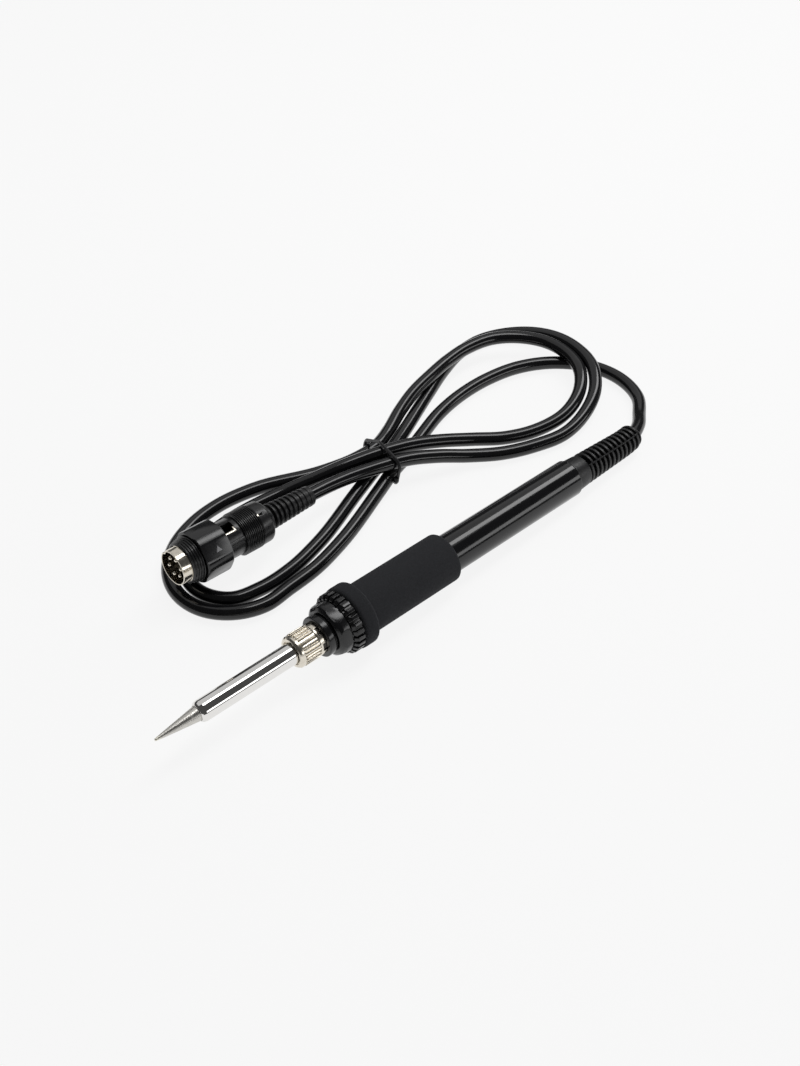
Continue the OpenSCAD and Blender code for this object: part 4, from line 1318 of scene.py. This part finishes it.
class IRON_OT_plug_collar(bpy.types.Operator):
    """Locking collar with six flat lands and a raised mark"""

    bl_idname = "soldering_iron.plug_collar"
    bl_label = "Locking collar"

    def execute(self, context):
        s = plug_mm()
        at, end, r = s.collar_at, s.collar_end, s.collar / 2
        bore, flat = s.shell / 2 + 1.08, r * 0.935
        # The light grey of the mark is a painted highlight: it stands for the glossy reflection off the
        # raised mark.
        grey, black = (0.30, 0.30, 0.31), colours().satin_black
        collar = turned("collar_ring", [
            (at, bore, 0.1), (at, r, 0.75), (end, r, 0.75), (end, bore, 0.1),
        ], PLUG, 160)
        corner = flat / math.cos(math.pi / 6)
        prism = rod("prism", at - 1, end + 1, corner, PLUG @ about_axis(MARK_TURN - 30), 6)
        collar = cut(collar, prism, 0.14, 22, "INTERSECT")
        use(collar, made("gloss_black_collar", gloss_moulding, (0.14, 0.24), black, PLUG))
        place = on_surface("collar_mark", collar, PLUG) @ Matrix.Translation((-0.2, 0, 0))
        place = place @ about_axis(90, "Y") @ about_axis(-90)
        mark = turned("collar_mark", [
            (0, 0, 0), (0, 1.6, 0), (0.45, 1.45, 0), (0.55, 1.2, 0), (0.55, 0, 0),
        ], place, 3)
        # The mark's finish carries that painted highlight grey.
        fitting("collar_mark", use(mark, made("worn_mark", gloss_moulding, (0.3, 0.4), grey, PLUG)))
        collar = joined("locking_collar_ring", collar, mark)
        take_over(collar, "locking_collar", "plug_plastic", "plug_collar")
        return {"FINISHED"}


class IRON_OT_plug_boot(bpy.types.Operator):
    """Tapered cord boot of the plug with its ribs"""

    bl_idname = "soldering_iron.plug_boot"
    bl_label = "Plug boot"

    def execute(self, context):
        s = plug_mm()
        at, end, cord, rim = s.sleeve_end, s.boot_end, s.cord / 2, 5
        rubber = made("plug_rubber", soft_rubber, PLUG)
        flange, neck, step = 6.6, 4.95, at - 2.02
        core = turned("boot_tube", [
            (at - 3, cord, 0), (at - 3, flange, 0.2), (step, flange, 0.2), (step, neck, 0),
            (at + 0.2, neck, 0.3), (at + 0.6, cord + 1, 0.2), (end - 1.5, cord + 0.95, 0.2),
            (end - 1.2, cord + 1.1, 0.2), (end, cord + 1.05, 0.35), (end, cord, 0.1),
        ], PLUG, 64)
        pitch = (end - at) / (s.boot_ribs + 0.5)
        thick, foot = 0.5 * pitch, cord + 0.2
        rib = turned("boot_rib", [
            (0, foot, 0), (0, rim, 0.35), (thick, rim, 0.35), (thick, foot, 0),
        ], LOOSE, 48)
        way = [(0, 0, at + 0.5 * pitch + (s.boot_ribs - 1) * pitch * k / 8) for k in range(9)]
        ribs = along_path(rib, way, s.boot_ribs, PLUG, rubber, "boot_ribs", 0.0, (cord + 1.2) / rim)
        boot = joined("plug_cord_boot", use(core, rubber), ribs)
        take_over(boot, "iron", "black_rubber", "plug_boot")
        on_cord = [bpy.data.objects[n] for n in (
            "twisted_tie", "keyed_shell", "insulator_disc", "contact_pins", "front_ring", "plug_tube",
            "bright_latch", "screwed_sleeve", "locking_collar_ring", "plug_cord_boot")]
        on_cord += [frame["nodes"][n] for n in ("plug_wires", "plug_cord_clamp", "cord_in_plug")]
        way = cord_way()
        return {"FINISHED"}


# ---- stage

CAMERA_LOOKS = (0.4844, 0.5253, -0.6997)  # the way that the camera looks at the table
LIGHT_AIM = (0.0, 0.03, 0.0)
TABLE_DROP = 0.0002  # the table lies this far under the part
TABLE_SIZE = 4


def panel_light(name, at, width, depth, watts):
    """A soft rectangular studio panel."""
    lamp = bpy.data.lights.new(name, "AREA")
    lamp.shape = "RECTANGLE"
    lamp.size, lamp.size_y = width, depth
    lamp.energy = watts
    obj = bpy.data.objects.new(name, lamp)
    obj.location = at
    obj.rotation_euler = (Vector(LIGHT_AIM) - Vector(at)).to_track_quat("-Z", "Y").to_euler()
    bpy.context.scene.collection.objects.link(obj)


class IRON_OT_stage(bpy.types.Operator):
    """Camera, white table and soft studio light"""

    bl_idname = "soldering_iron.stage"
    bl_label = "Stage"

    def execute(self, context):
        scene = context.scene
        s = scene.stage_settings
        scene.view_settings.view_transform = "Standard"
        camera = bpy.data.objects.new("camera", bpy.data.cameras.new("camera"))
        scene.collection.objects.link(camera)
        ahead = Vector(CAMERA_LOOKS).normalized()
        right = ahead.cross(Vector((0, 0, 1))).normalized()
        turn = Matrix((right, right.cross(ahead), -ahead)).transposed().to_4x4()
        camera.matrix_world = Matrix.Translation(s.camera_at) @ turn
        camera.data.lens = s.lens
        camera.data.sensor_width = 36
        camera.data.sensor_fit = "AUTO"
        camera.data.clip_start, camera.data.clip_end = 0.01, 50
        scene.camera = camera
        bm = bmesh.new()
        bmesh.ops.create_grid(bm, x_segments=2, y_segments=2, size=TABLE_SIZE)
        mesh = bpy.data.meshes.new("table")
        bm.to_mesh(mesh)
        bm.free()
        table = fresh_object("table", mesh)
        table.location.z = -TABLE_DROP
        table.data.materials.append(table_white())
        world = bpy.data.worlds.new("studio")
        world.use_nodes = True
        back = world.node_tree.nodes["Background"].inputs
        back["Color"].default_value = (1, 1, 1, 1)
        back["Strength"].default_value = s.sky
        scene.world = world
        panel_light("overhead", (0.25, 0.38, 0.62), 1.2, 0.9, s.overhead)
        panel_light("strip", (0.42, 0.06, 0.74), 0.25, 0.9, s.strip)
        panel_light("front", (0.42, -0.71, 0.24), 0.9, 0.2, s.front)
        return {"FINISHED"}


def table_white():
    """White table: the camera and mirrors see it white, and it keeps a soft shadow."""
    mat = bpy.data.materials.new("table_white")
    mat.use_nodes = True
    tree = mat.node_tree
    matte = tree.nodes["Principled BSDF"]
    matte.inputs["Base Color"].default_value = (0.86, 0.86, 0.86, 1)
    matte.inputs["Roughness"].default_value = 0.9
    matte.inputs["Specular IOR Level"].default_value = 0.1
    glow = add_node(tree, "ShaderNodeEmission", {"Strength": 1.0})
    ray = add_node(tree, "ShaderNodeLightPath", {}).node.outputs
    seen = maths(tree, "MAXIMUM", ray["Is Camera Ray"], ray["Is Glossy Ray"])
    seen = maths(tree, "MAXIMUM", seen, ray["Is Transmission Ray"])
    share = maths(tree, "MULTIPLY", seen, 0.88)
    mix = add_node(tree, "ShaderNodeMixShader", {"Fac": share, 1: matte.outputs[0], 2: glow})
    tree.links.new(mix, tree.nodes["Material Output"].inputs["Surface"])
    return mat


# ---- image points: where features show in the photograph's frame of 800 by 1066

W, H = 800, 1066
CLEAR = 0.0003  # a point still shows with something this near in front of it, in metres
# Feature: (x, y, the piece that it is on, what of it shows there)
IMAGE_POINTS = {
    "tip_end_left": (154.5, None, "tip_cone", "left"),
    "tip_end_bottom": (None, 740.0, "tip_cone", "bottom"),
    "boot_right": (639.9, None, "ribbed_boot", "right"),
    "boot_top": (None, 426.8, "ribbed_boot", "top"),
    "nut_left": (282.5, None, "knurled_nut", "left"),
    "nut_bottom": (None, 665.9, "knurled_nut", "bottom"),
    "nipple_left": (303.0, None, "slotted_nipple", "left"),
    "nipple_bottom": (None, 655.0, "slotted_nipple", "bottom"),
    "grip_top": (None, 534.5, "grip_foam", "top"),
    "grip_right": (461.1, None, "grip_foam", "right"),
    "shell_left": (161.1, None, "keyed_shell", "left"),
    "shell_bottom": (None, 586.1, "keyed_shell", "bottom"),
    "contacts": (173.9, 568.1, "contact_pins", "middle"),
    "collar_mark": (218.6, 549.4, "collar_mark", "middle"),
    "latch": (230.5, 530.8, "bright_latch", "middle"),
    "sleeve_slit": (258.8, 515.0, "sleeve_slit", "middle"),
    "tie": (381.5, 461.4, "twisted_tie", "middle"),
}
FITTINGS = {}  # places of the vertices of small fittings that are joined to their carriers


def fitting(name, obj):
    """Remembers where a small fitting is, before it is joined to its carrier."""
    FITTINGS[name] = [v.co.copy() for v in obj.data.vertices]


def picture_ray(x, y):
    """The camera's place and the way that it looks through a pixel of the photograph's frame."""
    camera = bpy.context.scene.camera
    data, far = camera.data, max(W, H)
    across, up = x - W / 2 + data.shift_x * far, H / 2 - y + data.shift_y * far
    way = Vector((across, up, -far * data.lens / data.sensor_width))
    return camera.matrix_world.translation, (camera.matrix_world.to_3x3() @ way).normalized()


def on_surface(point, carrier, axis_place):
    """Matrix in millimetres where an image point lies on its carrier: X out of it, Z to the cord."""
    eye, way = picture_ray(*IMAGE_POINTS[point][:2])
    tree = surface_tree([carrier])
    at, normal = tree.ray_cast(eye, way)[:2]
    if at is None:
        reach = (carrier.data.vertices[0].co - eye).dot(way)
        at, normal = tree.find_nearest(eye + way * reach)[:2]
    if normal.dot(way) > 0:
        normal = -normal
    back = axis_place.to_3x3() @ Vector((0, 0, 1))
    side = back.cross(normal).normalized()
    turn = Matrix((normal, side, normal.cross(side))).transposed().to_4x4()
    return Matrix.Translation(at) @ turn @ Matrix.Scale(MM, 4)


def surface_tree(objs):
    """One search tree of the finished faces of several pieces."""
    verts, faces = [], []
    for obj in objs:
        base = len(verts)
        verts += [obj.matrix_world @ v.co for v in obj.data.vertices]
        faces += [[base + i for i in face.vertices] for face in obj.data.polygons]
    return BVHTree.FromPolygons(verts, faces)


def picture(p):
    """Where a point of the frame shows in the photograph's frame, in pixels."""
    camera = bpy.context.scene.camera
    v = camera.matrix_world.inverted() @ Vector(p)
    data, far = camera.data, max(W, H)
    k = far * data.lens / data.sensor_width
    across, up = k * v.x / -v.z, k * v.y / -v.z
    return Vector((W / 2 + across - data.shift_x * far, H / 2 - up + data.shift_y * far))


def shown(points, tree):
    """The picture's places of those points that nothing hides from the camera."""
    eye = bpy.context.scene.camera.matrix_world.translation
    out = []
    for p in points:
        way = p - eye
        if tree.ray_cast(eye, way.normalized(), way.length - CLEAR)[0] is None:
            out.append(picture(p))
    return out


def show_points():
    """Finds where each named thing shows, unhidden, in the photograph's frame."""
    meshes = [o for o in bpy.context.scene.objects if o.type == "MESH" and not o.hide_render]
    tree = surface_tree([o for o in meshes if o.name != "table"])
    for name, (x, y, piece, what) in IMAGE_POINTS.items():
        points = FITTINGS.get(piece)
        if points is None and piece in bpy.data.objects:
            obj = bpy.data.objects[piece]
            points = [obj.matrix_world @ v.co for v in obj.data.vertices]
        seen = shown(points or [], tree)
        if not seen:
            continue


# ---- panel and start

OPERATORS = (
    IRON_OT_stage, IRON_OT_cord, IRON_OT_tie, IRON_OT_tip, IRON_OT_enclosure, IRON_OT_nut, IRON_OT_nipple,
    IRON_OT_handle, IRON_OT_grip, IRON_OT_boot, IRON_OT_inside, IRON_OT_plug_shell, IRON_OT_plug_body,
    IRON_OT_plug_collar, IRON_OT_plug_boot,
)
GROUPS = {
    "iron_sizes": IronSizes, "cord_sizes": CordSizes, "finishes": Finishes, "stage_settings": StageSettings,
}


class IRON_PT_panel(bpy.types.Panel):
    """The iron's pieces and sizes"""

    bl_idname = "IRON_PT_panel"
    bl_label = "Soldering iron"
    bl_space_type = "VIEW_3D"
    bl_region_type = "UI"
    bl_category = "Soldering iron"

    def draw(self, context):
        for operator in OPERATORS:
            self.layout.operator(operator.bl_idname)
        for group, kind in GROUPS.items():
            box = self.layout.box()
            values = getattr(context.scene, group)
            for key in kind.__annotations__:
                box.prop(values, key)


def register():
    for cls in (*GROUPS.values(), *OPERATORS, IRON_PT_panel):
        bpy.utils.register_class(cls)
    for name, kind in GROUPS.items():
        setattr(bpy.types.Scene, name, PointerProperty(type=kind))


def unregister():
    for name in GROUPS:
        delattr(bpy.types.Scene, name)
    for cls in reversed((*GROUPS.values(), *OPERATORS, IRON_PT_panel)):
        bpy.utils.unregister_class(cls)


def main():
    register()
    for operator in OPERATORS:
        getattr(bpy.ops.soldering_iron, operator.bl_idname.split(".")[1])()
    show_points()


if __name__ == "__main__":
    main()
